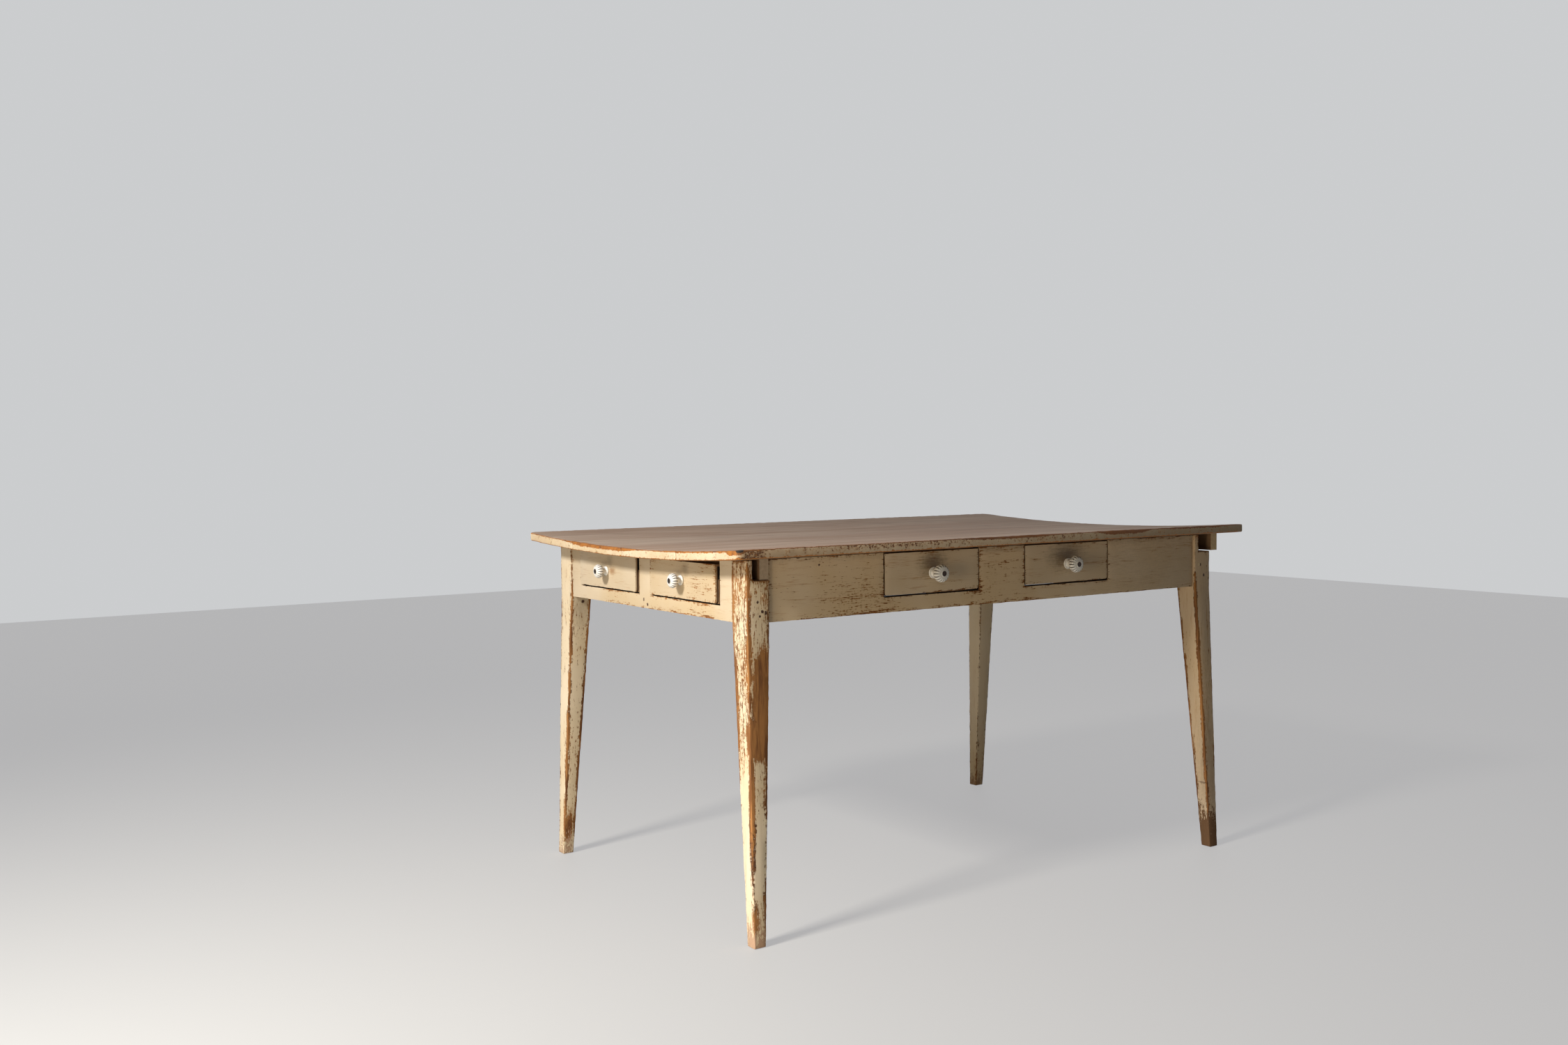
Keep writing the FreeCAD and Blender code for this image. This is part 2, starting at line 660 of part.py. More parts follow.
def turned_and_fluted(name, levels):
    """Solid through round sections, each a radius, a height and how deep the valleys between its lobes are."""
    half = math.pi / FLUTES
    flat = value(d.lobe_flat) * half
    rings = []
    for size, height, depth in levels:
        crest = value(size)
        valley = crest * (1 - value(depth))
        ring = []
        for lobe in range(FLUTES):
            middle = 2 * half * lobe
            for reach, turn in ((valley, middle - half), (crest, middle - flat), (crest, middle + flat)):
                ring.append(Vector(reach * math.cos(turn), reach * math.sin(turn), value(height)))
        rings.append(ring)
    faces = [Part.Face(Part.makePolygon(ring + ring[:1])) for ring in (rings[0], rings[-1])]
    for level, (low, high) in enumerate(zip(rings, rings[1:])):
        alike = value(levels[level][2]) == value(levels[level + 1][2])      # then the four corners lie in a plane
        for i in range(len(low)):
            j = (i + 1) % len(low)
            if alike:
                pieces = [(low[i], low[j], high[j], high[i])]
            else:
                pieces = [(low[i], low[j], high[j]), (low[i], high[j], high[i])]
            faces += [Part.Face(Part.makePolygon(corners + corners[:1])) for corners in pieces]
    turned = doc.addObject("Part::Feature", name)
    solid = Part.makeSolid(Part.makeShell(faces))
    turned.Shape = solid if solid.Volume > 0 else solid.reversed()
    return turned


def plain_cylinder(name, radius, low, high):
    cylinder = doc.addObject("Part::Cylinder", name)
    bind(cylinder, Radius=radius, Height=high - low)
    put(cylinder, z=low)
    return cylinder


def make_knob(drawer):
    """Turned and fluted knob, made along Z and turned to point out of the drawer's face."""
    name = drawer.name + "_knob"
    size = drawer.knob
    bead = size["dia"] / 4              # radius of the head's rounded rim
    stem = size["stem"] / 2
    rise = d.knob_base_thick
    back = size["widest"] - (bead * bead - (stem - bead) * (stem - bead)).root()
    crown = size["widest"] + (bead * bead - (d.knob_ring - bead) * (d.knob_ring - bead)).root()
    seat = crown - d.knob_seat
    head_seat = d.bolt_head_dia / 2 + d.bolt_gap

    base = size["base"] / 2
    waist = stem + (base - stem) * d.knob_flare
    levels = [(base, zero, zero), (base, rise, zero), (waist, rise + (base - waist) / 2, zero),
              (stem, rise + (base - stem), zero), (stem, back, zero)]
    for turn in RIM_TURNS:
        out, up = math.cos(math.radians(turn)), math.sin(math.radians(turn))
        levels.append((bead * (1 + out), size["widest"] + bead * up, d.flute_depth))
    levels += [(d.knob_ring, crown, zero), (d.knob_ring - d.knob_ring_rise, crown + d.knob_ring_rise, zero)]
    top = crown + 2 * d.knob_ring_rise
    holes = doc.addObject("Part::Fuse", name + "_holes")
    holes.Base = plain_cylinder(name + "_head_seat", head_seat, seat, top)
    holes.Tool = plain_cylinder(name + "_bore", d.bolt_dia / 2 + d.bolt_gap, zero - 1, seat + d.knob_seat / 2)
    knob = doc.addObject("Part::Cut", name)
    knob.Base = turned_and_fluted(name + "_turned", levels)
    knob.Tool = holes
    drawer.seat(knob, zero, zero, size["up"], outwards)
    node(name, knob)
    return seat


def make_bolt(drawer, seat):
    """The knob's bolt, with a low domed head let into the knob."""
    body = new_body(drawer.name + "_knob_bolt")
    tip = -d.face_thick - d.nut_height - d.bolt_spare
    shank = d.bolt_dia / 2
    head = d.bolt_head_dia / 2
    sketch = new_sketch(body, "profile", "XZ_Plane")
    polygon(sketch, [(zero, tip), (shank, tip), (shank, seat), (head, seat),
                     (head, seat + d.bolt_head_rise), (zero, seat + d.bolt_head_rise)])
    revolve(body, sketch)
    drawer.seat(body, zero, zero, drawer.knob["up"], outwards)


def make_nut(drawer):
    name = drawer.name + "_knob_nut"
    hexagon = doc.addObject("Part::Prism", name + "_hexagon")
    hexagon.Polygon = 6
    bind(hexagon, Circumradius=d.nut_flats / math.sqrt(3), Height=d.nut_height)
    hole = doc.addObject("Part::Cylinder", name + "_hole")
    bind(hole, Radius=d.bolt_dia / 2 + d.bolt_gap, Height=d.nut_height)
    nut = doc.addObject("Part::Cut", name)
    nut.Base = hexagon
    nut.Tool = hole
    drawer.seat(nut, zero, d.face_thick + d.nut_height, drawer.knob["up"], outwards)
    return node(name, nut)


def make_drawer(drawer):
    make_face(drawer)
    make_side(drawer, "side_left", -1)
    make_side(drawer, "side_right", 1)
    make_back_and_base(drawer)
    seat = make_knob(drawer)
    make_bolt(drawer, seat)
    make_nut(drawer)


def knob_sizes(kind):
    keys = ("dia", "widest", "base", "stem", "up")
    return {key: getattr(d, "%s_knob_%s" % (kind, key)) for key in keys}


def make_all():
    for index in range(BOARDS):
        make_board(index)
    make_batten("batten_left", left_batten_x)
    make_batten("batten_right", right_batten_x)
    make_batten_nails()
    for name, side_x, side_y in (("front_left", -1, -1), ("front_right", 1, -1),
                                 ("back_left", -1, 1), ("back_right", 1, 1)):
        make_leg(name, side_x, side_y)
    make_pegs()
    make_long_apron("apron_front", -1, (-front_centre, front_centre))
    make_long_apron("apron_back", 1, ())
    make_end_apron("apron_left", -1, ((-end_opening_out, -end_opening_in), (end_opening_in, end_opening_out)))
    make_end_apron("apron_right", 1, ())
    make_bearer()
    for index, (centre, side) in enumerate(((-front_centre, -1), (-front_centre, 1),
                                            (front_centre, -1), (front_centre, 1)), start=1):
        make_front_runner(index, centre, side)
    for index, (centre, side) in enumerate(((near_centre, -1), (near_centre, 1),
                                            (far_centre, -1), (far_centre, 1)), start=1):
        make_end_runner(index, centre, side)
    make_stops()
    for name, centre in (("front_left_drawer", -front_centre), ("front_right_drawer", front_centre)):
        make_drawer(Drawer(name, d.front_drawer_width, d.front_drawer_depth, front_face_height,
                           front_side_height, (centre, -long_out, front_drawer_bottom), False,
                           knob_sizes("front")))
    for name, centre in (("end_near_drawer", near_centre), ("end_far_drawer", far_centre)):
        make_drawer(Drawer(name, end_drawer_width, end_depth, end_face_height, end_side_height,
                           (end_face_x, centre, end_drawer_bottom), True, knob_sizes("end")))


def check():
    """Stops if any object failed or any part is not a sound solid."""
    doc.recompute()
    for thing in doc.Objects:
        if set(thing.State) & {"Invalid", "Error"}:
            raise RuntimeError("%s failed: %s" % (thing.Name, thing.State))
    for thing in nodes:
        if thing.Shape.isNull() or not thing.Shape.isValid() or not thing.Shape.Solids:
            raise RuntimeError("%s is not a sound solid" % thing.Label)


def export():
    os.makedirs("parts", exist_ok=True)
    for thing in nodes:
        thing.Shape.exportStep("parts/%s.step" % thing.Label)


make_all()
check()
export()
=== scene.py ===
import math
import bmesh
import bpy
import numpy as np
from mathutils import Matrix, Vector


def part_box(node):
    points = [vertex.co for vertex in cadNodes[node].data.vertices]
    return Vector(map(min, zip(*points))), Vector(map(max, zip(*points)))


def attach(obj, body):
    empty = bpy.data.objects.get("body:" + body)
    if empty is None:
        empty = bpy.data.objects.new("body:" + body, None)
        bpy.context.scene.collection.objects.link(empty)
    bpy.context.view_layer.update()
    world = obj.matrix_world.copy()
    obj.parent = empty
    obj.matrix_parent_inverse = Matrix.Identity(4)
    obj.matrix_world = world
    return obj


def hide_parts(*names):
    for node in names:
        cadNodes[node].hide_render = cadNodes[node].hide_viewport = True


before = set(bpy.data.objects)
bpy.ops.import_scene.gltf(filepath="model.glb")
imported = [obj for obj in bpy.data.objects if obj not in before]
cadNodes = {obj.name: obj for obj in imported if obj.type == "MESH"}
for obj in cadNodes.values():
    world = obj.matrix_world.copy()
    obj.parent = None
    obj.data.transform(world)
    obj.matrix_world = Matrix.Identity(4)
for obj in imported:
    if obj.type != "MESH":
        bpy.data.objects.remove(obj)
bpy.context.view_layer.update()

print("loaded", len(cadNodes), "nodes")


class Wire:                              # a node's output that takes arithmetic
    def __init__(self, recipe, socket):
        self.recipe = recipe
        self.socket = socket

    def __add__(self, other):
        return self.recipe.reckon("ADD", self, other)

    def __radd__(self, other):
        return self.recipe.reckon("ADD", other, self)

    def __sub__(self, other):
        return self.recipe.reckon("SUBTRACT", self, other)

    def __rsub__(self, other):
        return self.recipe.reckon("SUBTRACT", other, self)

    def __mul__(self, other):
        return self.recipe.reckon("MULTIPLY", self, other)

    def __rmul__(self, other):
        return self.recipe.reckon("MULTIPLY", other, self)

    def __abs__(self):
        return self.recipe.reckon("ABSOLUTE", self, 0)

    def lower(self, other):              # the smaller of two values
        return self.recipe.reckon("MINIMUM", self, other)

    def higher(self, other):
        return self.recipe.reckon("MAXIMUM", self, other)


class Recipe:                            # the nodes of one material
    def __init__(self, name):
        self.material = bpy.data.materials.new(name)
        self.material.use_nodes = True
        self.tree = self.material.node_tree
        self.shader = self.tree.nodes["Principled BSDF"]
        self.place = None

    def node(self, kind, settings, inputs, output=0):
        made = self.tree.nodes.new(kind)
        for name, choice in settings.items():
            setattr(made, name, choice)
        for name, source in inputs.items():
            if isinstance(source, Wire):
                self.tree.links.new(source.socket, made.inputs[name])
            else:
                made.inputs[name].default_value = source
        return Wire(self, made.outputs[output])

    def reckon(self, operation, first, second):
        return self.node("ShaderNodeMath", {"operation": operation}, {0: first, 1: second})

    def here(self):                      # Object coordinates
        if self.place is None:
            self.place = self.node("ShaderNodeTexCoord", {}, {}, "Object")
        return self.place

    def axis(self, letter):
        return self.node("ShaderNodeSeparateXYZ", {}, {0: self.here()}, "XYZ".index(letter))

    def stretched(self, scale, shift):
        return self.node("ShaderNodeMapping", {}, {"Vector": self.here(), "Location": shift, "Scale": scale})

    def cloud(self, scale, shift, detail, rough, warp=0):
        inputs = {"Vector": self.stretched(scale, shift), "Scale": 1, "Detail": detail,
                  "Roughness": rough, "Distortion": warp}
        return self.node("ShaderNodeTexNoise", {}, inputs)

    def ramp(self, source, low, high):   # 0 below low, 1 above high, eased between
        return self.node("ShaderNodeMapRange", {"interpolation_type": "SMOOTHSTEP"},
                         {0: source, "From Min": low, "From Max": high})

    def blend(self, share, first, second):   # sockets 6, 7 and 2 are the ones for colours
        return self.node("ShaderNodeMix", {"data_type": "RGBA"}, {0: share, 6: first, 7: second}, 2)

    def shade(self, base, share):        # a colour multiplied by a value
        base = base[:3] if isinstance(base, tuple) else base
        return self.node("ShaderNodeVectorMath", {"operation": "SCALE"}, {0: base, "Scale": share})

    def inside(self, centre, reach):     # 1 at the centre, 0 on the ellipsoid round it, below 0 beyond
        shift = self.node("ShaderNodeVectorMath", {"operation": "SUBTRACT"}, {0: self.here(), 1: centre})
        share = self.node("ShaderNodeVectorMath", {"operation": "DIVIDE"}, {0: shift, 1: reach})
        return 1 - self.node("ShaderNodeVectorMath", {"operation": "LENGTH"}, {0: share}, "Value")

    def mark(self, name):                # a value written on the mesh
        return self.node("ShaderNodeAttribute", {"attribute_name": name}, {}, "Fac")

    def bump(self, height, distance, strength):
        return self.node("ShaderNodeBump", {}, {"Height": height, "Distance": distance, "Strength": strength})

    def finish(self, sockets):
        for name, source in sockets.items():
            if isinstance(source, Wire):
                self.tree.links.new(source.socket, self.shader.inputs[name])
            else:
                self.shader.inputs[name].default_value = source
        return self.material


def colour(code):                        # "#rrggbb" as the linear colour that a socket takes
    def linear(value):
        return value / 12.92 if value <= 0.04045 else ((value + 0.055) / 1.055) ** 2.4
    return tuple(linear(int(code[i:i + 2], 16) / 255) for i in (1, 3, 5)) + (1,)


def dress(piece, material):
    piece.data.materials.clear()
    piece.data.materials.append(material)


cameraSizes = {
    "place": (-2.145, -2.752, 0.931),
    "yaw": 33.97,           # degrees from +Y towards +X
    "pitch": -2.58,
    "roll": -0.61,
    "lens": 34.32,          # mm
    "sensor": 36,           # mm wide
    "sight": 60,            # metres that the camera sees
}


def addCamera(sizes=cameraSizes):
    yaw = math.radians(sizes["yaw"])
    pitch = math.radians(sizes["pitch"])
    roll = math.radians(sizes["roll"])
    ahead = Vector((math.sin(yaw) * math.cos(pitch), math.cos(yaw) * math.cos(pitch), math.sin(pitch)))
    right = Vector((math.cos(yaw), -math.sin(yaw), 0))
    up = right.cross(ahead)
    across = right * math.cos(roll) + up * math.sin(roll)
    upwards = up * math.cos(roll) - right * math.sin(roll)
    bpy.ops.object.camera_add(location=sizes["place"])
    camera = bpy.context.object
    camera.rotation_euler = Matrix((across, upwards, -ahead)).transposed().to_euler()
    camera.data.lens = sizes["lens"]
    camera.data.sensor_width = sizes["sensor"]
    camera.data.clip_end = sizes["sight"]
    bpy.context.scene.camera = camera


lampSizes = {
    "window": {"place": (-4.13, -0.87, 3.05), "aim": (-2.0, -0.57, 0.0), "size": 0.7, "power": 71,
               "spread": 75, "colour": (0.98, 0.96, 0.93)},
    "fill": {"place": (-2.9, -1.35, 0.60), "aim": (0.1, -0.1, 0.45), "size": 0.8, "power": 4.4,
             "spread": 90, "colour": (1.0, 0.84, 0.60)},
}


def addLamp(name, sizes):
    bpy.ops.object.light_add(type="AREA", location=sizes["place"])
    lamp = bpy.context.object
    lamp.name = name
    lamp.data.size = sizes["size"]
    lamp.data.energy = sizes["power"]
    lamp.data.color = sizes["colour"]
    lamp.data.spread = math.radians(sizes["spread"])
    aim = Vector(sizes["aim"]) - lamp.location
    lamp.rotation_euler = aim.to_track_quat("-Z", "Y").to_euler()


roomLight = {
    "colour": (1.0, 0.86, 0.66, 1),
    "strength": 0.04,
    "backdrop": (0.60, 0.61, 0.62, 1),   # what the camera and reflections see of the room
}


def addRoom(light=roomLight):
    world = bpy.data.worlds.new("room")
    bpy.context.scene.world = world
    world.use_nodes = True
    tree = world.node_tree
    room = tree.nodes["Background"]
    room.inputs["Color"].default_value = light["colour"]
    room.inputs["Strength"].default_value = light["strength"]
    backdrop = tree.nodes.new("ShaderNodeBackground")
    backdrop.inputs["Color"].default_value = light["backdrop"]
    rays = tree.nodes.new("ShaderNodeLightPath")
    seen = tree.nodes.new("ShaderNodeMath")
    seen.operation = "MAXIMUM"
    tree.links.new(rays.outputs["Is Camera Ray"], seen.inputs[0])
    tree.links.new(rays.outputs["Is Glossy Ray"], seen.inputs[1])
    mix = tree.nodes.new("ShaderNodeMixShader")
    tree.links.new(seen.outputs[0], mix.inputs[0])
    tree.links.new(room.outputs[0], mix.inputs[1])
    tree.links.new(backdrop.outputs[0], mix.inputs[2])
    tree.links.new(mix.outputs[0], tree.nodes["World Output"].inputs["Surface"])


floorSizes = {
    "width": 14,
    "colour": (0.42, 0.405, 0.37, 1),
    "roughness": 0.6,
    "glow": (0.90, 0.90, 0.918, 1),      # what the camera and reflections see, and it lights nothing
    "glowShare": 0.45,      # of what is seen, the rest being the lit floor with its shadows
}


def addFloor(sizes=floorSizes):
    bpy.ops.mesh.primitive_plane_add(size=sizes["width"])
    floor = bpy.context.object
    floor.name = "floor"
    paint = Recipe("floor paint")
    paint.finish({"Base Color": sizes["colour"], "Roughness": sizes["roughness"]})
    shine = paint.node("ShaderNodeEmission", {}, {"Color": sizes["glow"]})
    seen = paint.node("ShaderNodeLightPath", {}, {}, "Is Camera Ray")
    mirrored = paint.node("ShaderNodeLightPath", {}, {}, "Is Glossy Ray")
    share = seen.higher(mirrored) * sizes["glowShare"]
    lit = Wire(paint, paint.shader.outputs[0])
    mixed = paint.node("ShaderNodeMixShader", {}, {0: share, 1: lit, 2: shine})
    paint.tree.links.new(mixed.socket, paint.tree.nodes["Material Output"].inputs["Surface"])
    dress(floor, paint.material)


addCamera()
for name, sizes in lampSizes.items():
    addLamp(name, sizes)
addRoom()
addFloor()
print("camera, light and floor made")

grainOf = {                              # how a pattern is squeezed for grain along each axis
    "X": (1, 12, 12),
    "Y": (12, 1, 12),
    "Z": (12, 12, 1),
}


def alongGrain(axis, fineness):
    return tuple(part * fineness for part in grainOf[axis])


paintColours = {
    "cream": colour("#eddcc0"),
    "creamOld": colour("#e2cba4"),
    "creamDirty": colour("#c8a277"),
    "stain": colour("#a5713f"),          # the orange brown rim round worn paint
    "bareLight": colour("#ab7744"),
    "bareDark": colour("#744a29"),
    "bareFoot": colour("#b8967a"),
    "crack": colour("#4c2f1e"),
    # dark brown for grime, and for painted shade where places lie in shade
    "grimeAndShade": colour("#54412f"),
    "unpainted": colour("#8a6644"),
    "gap": colour("#1d150f"),            # painted shade: the near black of deep joints and drawer gaps, and of the hole in the top
}
paintFeel = {
    "lost": (0.50, 0.55),   # the loss over which paint gives way to wood
    "stained": (0.42, 0.53),    # and the one over which its rim is stained
    "stainShare": 0.5,
    "roughness": 0.48,
    "bareRoughness": 0.45,  # added where the paint is gone
    "sheen": 0.35,
    "relief": 0.0009,       # height of the bumps
}


def paintedWood(name, grain, seed, look, feel=paintFeel):
    # level, edgeWear, dirt and age hold for the whole piece, as does the brightness factor, which is painted
    # shade below 1 and painted light above 1; worn, bare, stain, the dark patches and holes list places on it
    # as (centre, reach, amount), the dark patches being grime in some places and painted shade in others;
    # foot is the height up to which a leg is bare, in footColour
    colours = paintColours
    recipe = Recipe(name)
    edge = recipe.mark("edge")
    broad = recipe.cloud((6, 6, 6), (seed, seed, 0), 3, 0.5)
    long = recipe.cloud(alongGrain(grain, 8), (seed, 0, 0), 4, 0.62, 0.5)
    fine = recipe.cloud(alongGrain(grain, 40), (0, seed, 0), 3, 0.62, 0.3)
    specks = recipe.cloud((170, 170, 170), (0, seed, 0), 2, 0.6)
    rough = (long - 0.5) * 0.6 + (fine - 0.5) * 1.5 + (specks - 0.5) * 0.8

    level = look["level"] + (broad - 0.5)
    for centre, reach, amount in look.get("worn", []):
        level = level + recipe.ramp(recipe.inside(centre, reach), 0, 0.5) * amount
    loss = level + edge * edge * look["edgeWear"] + rough
    for centre, reach, amount in look.get("bare", []):
        loss = loss.higher(0.53 + recipe.inside(centre, reach) * amount + rough * 0.5)
    foot = 0
    if "foot" in look:
        foot = recipe.ramp((look["foot"] - recipe.axis("Z")) * 25 + rough * 3.2 - edge * 0.5, -0.1, 0.1)
        loss = loss.higher(foot)
    bare = recipe.ramp(loss, *feel["lost"])
    rim = recipe.ramp(loss, *feel["stained"])

    paint = recipe.blend(recipe.ramp(broad, 0.30, 0.72), colours["cream"], colours["creamOld"])
    dirt = recipe.ramp(fine * 0.5 + long * 0.8, 0.68, 0.90) * look["dirt"]
    paint = recipe.blend((dirt + look["age"]).lower(1), paint, colours["creamDirty"])
    # stain is real; the dark patches are grime in some places and painted shade in others
    for kind in ("stain", "grimeAndShade"):
        for centre, reach, amount in look.get(kind, []):
            cover = recipe.ramp(recipe.inside(centre, reach) + rough * 0.5, 0, 1) * amount
            paint = recipe.blend(cover, paint, colours[kind])
    # painted light and shade: the whole piece made darker or lighter to stand in for how much light reaches
    # it
    paint = recipe.shade(paint, look.get("paintedLightLevel", 1))
    paint = recipe.blend(rim * feel["stainShare"], paint, colours["stain"])

    wood = recipe.blend(recipe.ramp(long, 0.38, 0.64), colours["bareLight"], colours["bareDark"])
    wood = recipe.blend(foot, wood, look.get("footColour", colours["bareFoot"]))
    wood = recipe.shade(wood, 0.7 + 0.6 * fine)
    crack = recipe.blend(recipe.ramp(broad, 0.40, 0.60), colours["crack"], colours["stain"])
    wood = recipe.blend(recipe.ramp(0.66 - loss, -0.03, 0.09), wood, crack)
    surface = recipe.blend(bare, paint, wood)
    for centre, reach, amount in look.get("holes", []):
        hole = recipe.ramp(recipe.inside(centre, reach) + rough, 0.1, 0.4) * amount
        surface = recipe.blend(hole, surface, colours["crack"])
    gap = recipe.mark("gap")             # 0.5 where the wood was never painted, 1 deep in a gap, where it turns to painted shade
    unpainted = recipe.shade(colours["unpainted"], 0.55 + 0.9 * fine)
    surface = recipe.blend(recipe.ramp(gap, 0, 0.5), surface, unpainted)
    surface = recipe.blend(recipe.ramp(gap, 0.5, 1), surface, colours["gap"])
    height = (1 - bare) * 0.8 + long * 0.3 + fine * 0.2
    return recipe.finish({"Base Color": surface, "Specular IOR Level": feel["sheen"],
                          "Roughness": feel["roughness"] + bare.higher(gap) * feel["bareRoughness"],
                          "Normal": recipe.bump(height, feel["relief"], 0.7)})


topColours = {
    "wood": colour("#b7977f"),
    "woodPale": colour("#cdb5a0"),
    "woodDark": colour("#93725b"),
    "grain": colour("#70523f"),
    "stripe": colour("#b0702f"),         # orange brown wood laid bare along the arris
    "stripeDark": colour("#6d3f1f"),
    "under": colour("#8c6b4b"),
}
topWear = {                              # wide and chips list places as (centre, reach, amount)
    "line": 0.07,           # how far bare wood reaches down from the upper arris, in thicknesses
    "lineInwards": 0.12,    # and how far it reaches in over the upper face; wide adds to both
    "wide": [((-0.699, 0.10, 0.745), (0.2, 0.20, 0.2), 0.30),
             ((-0.699, -0.30, 0.75), (0.2, 0.20, 0.2), 0.10),
             ((-0.697, -0.435, 0.755), (0.03, 0.03, 0.1), 0.34),
             ((-0.02, -0.451, 0.76), (0.16, 0.1, 0.2), 0.20),
             ((0.31, -0.451, 0.76), (0.10, 0.1, 0.2), 0.36),
             ((0.55, -0.451, 0.76), (0.14, 0.1, 0.2), 0.14)],
    "front": -0.451,        # where the darker band along the front edge starts
    "frontReach": 0.008,    # and how far back it goes
    "chips": [((-0.33, -0.451, 0.757), (0.28, 0.02, 0.014), 0.16),
              ((-0.665, -0.451, 0.750), (0.045, 0.03, 0.02), 0.25),
              ((0.1, -0.451, 0.757), (0.2, 0.02, 0.014), 0.10)],
    "hole": ((-0.690, -0.447, 0.757), (0.011, 0.011, 0.0045)),
    "roughness": 0.60,
    "sheen": 0.4,
    "relief": 0.0007,       # height of the bumps
}


def tabletop(name, seed, wear=topWear):
    colours = topColours
    recipe = Recipe(name)
    edge = recipe.mark("edge")
    below = recipe.mark("below")         # -1 upper face, 0 its arris, 1 the lower arris, 2 underneath
    broad = recipe.cloud((1.1, 6, 6), (seed, 0, 0), 4, 0.6, 0.5)
    patch = recipe.cloud((3, 9, 9), (0, seed, 0), 3, 0.55, 0.3)
    streaks = recipe.cloud((2.2, 50, 50), (seed, 0, 0), 5, 0.65, 0.4)
    fine = recipe.cloud((8, 260, 260), (seed, 0, 0), 4, 0.65)
    ragged = recipe.cloud((70, 70, 90), (0, seed, 0), 4, 0.68)
    specks = recipe.cloud((210, 210, 240), (0, seed, 0), 2, 0.6)
    rough = (ragged - 0.5) * 1.1 + (specks - 0.5) * 1.1

    wood = recipe.blend(recipe.ramp(broad, 0.36, 0.64), colours["wood"], colours["woodPale"])
    wood = recipe.blend(recipe.ramp(patch, 0.50, 0.72) * 0.40, wood, colours["woodDark"])
    wood = recipe.blend(recipe.ramp(streaks, 0.44, 0.72) * 0.60, wood, colours["woodDark"])
    wood = recipe.blend(recipe.ramp(fine, 0.56, 0.70) * 0.60, wood, colours["grain"])
    wood = recipe.blend(recipe.ramp(specks, 0.74, 0.78) * 0.5, wood, colours["grain"])

    wide = 0
    for centre, reach, amount in wear["wide"]:
        wide = wide + recipe.ramp(recipe.inside(centre, reach), 0, 0.6) * amount
    atFront = recipe.ramp(wear["front"] + wear["frontReach"] - recipe.axis("Y"), 0, 0.004)
    streaky = recipe.ramp(streaks + rough * 0.3, 0.40, 0.75)
    stripe = recipe.blend(streaky, colours["stripe"], colours["stripeDark"])
    stripe = recipe.blend(atFront * 0.65, stripe, paintColours["crack"])
    onFace = recipe.ramp(below + wear["lineInwards"] + wide * 0.9 + rough * 0.4, 0, 0.06)
    wood = recipe.blend(onFace, wood, stripe)

    paint = recipe.blend(recipe.ramp(broad, 0.3, 0.7), paintColours["cream"], paintColours["creamOld"])
    paint = recipe.blend(recipe.ramp(patch, 0.40, 0.75) * 0.45 + 0.1, paint, paintColours["creamDirty"])
    # the front edge is darker with grime, and more so towards the right end, painted shade where less light
    # reaches
    shadeToRight = recipe.ramp(recipe.axis("X"), -0.3, 0.8)
    paint = recipe.blend(atFront * (0.22 + shadeToRight * 0.40), paint, paintColours["grimeAndShade"])
    worn = edge * 0.20 + rough * 0.9 + 0.05 + atFront * 0.04
    for centre, reach, amount in wear["chips"]:
        worn = worn + recipe.ramp(recipe.inside(centre, reach), 0, 0.6) * amount
    bare = recipe.ramp(worn, 0.46, 0.52)
    paint = recipe.blend(recipe.ramp(worn, 0.28, 0.48) * 0.6, paint, paintColours["stain"])
    chip = recipe.blend(recipe.ramp(worn, 0.5, 0.75), paintColours["crack"], paintColours["bareLight"])
    painted = recipe.blend(bare, paint, recipe.shade(chip, 0.7 + 0.6 * fine))
    lowLine = recipe.ramp(below + rough * 0.4, 0.86, 0.94)
    painted = recipe.blend(lowLine, painted, colours["stripe"])
    cover = recipe.ramp(below - wide - wear["line"] + rough * 0.35, 0, 0.05)
    surface = recipe.blend(cover, wood, painted)
    surface = recipe.blend(recipe.ramp(below, 1.1, 1.2), surface, colours["under"])
    # the hole is painted near black, painted shade in its depth
    hole = recipe.ramp(recipe.inside(*wear["hole"]) + rough * 0.5, 0.1, 0.4)
    surface = recipe.blend(hole, surface, paintColours["gap"])
    height = streaks * 0.5 + fine * 0.4 + cover * (1 - bare) * 0.8 - hole * 1.5
    return recipe.finish({"Base Color": surface, "Specular IOR Level": wear["sheen"],
                          "Roughness": wear["roughness"] - cover * 0.10,
                          "Normal": recipe.bump(height, wear["relief"], 0.7)})


pineLook = {
    "light": colour("#b48d63"),
    "dark": colour("#7d5a3b"),
    "roughness": 0.78,
    "relief": 0.0005,
}


def rawPine(name, grain, seed, look=pineLook):
    recipe = Recipe(name)
    broad = recipe.cloud(alongGrain(grain, 1.5), (seed, 0, 0), 4, 0.6, 0.5)
    fine = recipe.cloud(alongGrain(grain, 16), (0, seed, 0), 4, 0.6)
    wood = recipe.blend(recipe.ramp(broad, 0.35, 0.7), look["light"], look["dark"])
    wood = recipe.shade(wood, 0.72 + 0.56 * fine)
    return recipe.finish({"Base Color": wood, "Roughness": look["roughness"],
                          "Normal": recipe.bump(fine, look["relief"], 0.6)})


battenLook = {
    # light and dark are the batten's wood, darker than the other raw pine: partly dirty wood, partly painted
    # shade for the leg notches where its sides show
    "light": colour("#8a6a4a"),
    "dark": colour("#5b432e"),
    "ends": (0.3995, 0.4001),            # distance from the middle over which the colour of the ends sets in
    "weathered": colour("#b8a48c"),
    "painted": paintColours["creamOld"],
    "roughness": 0.8,
    "relief": 0.0005,
}


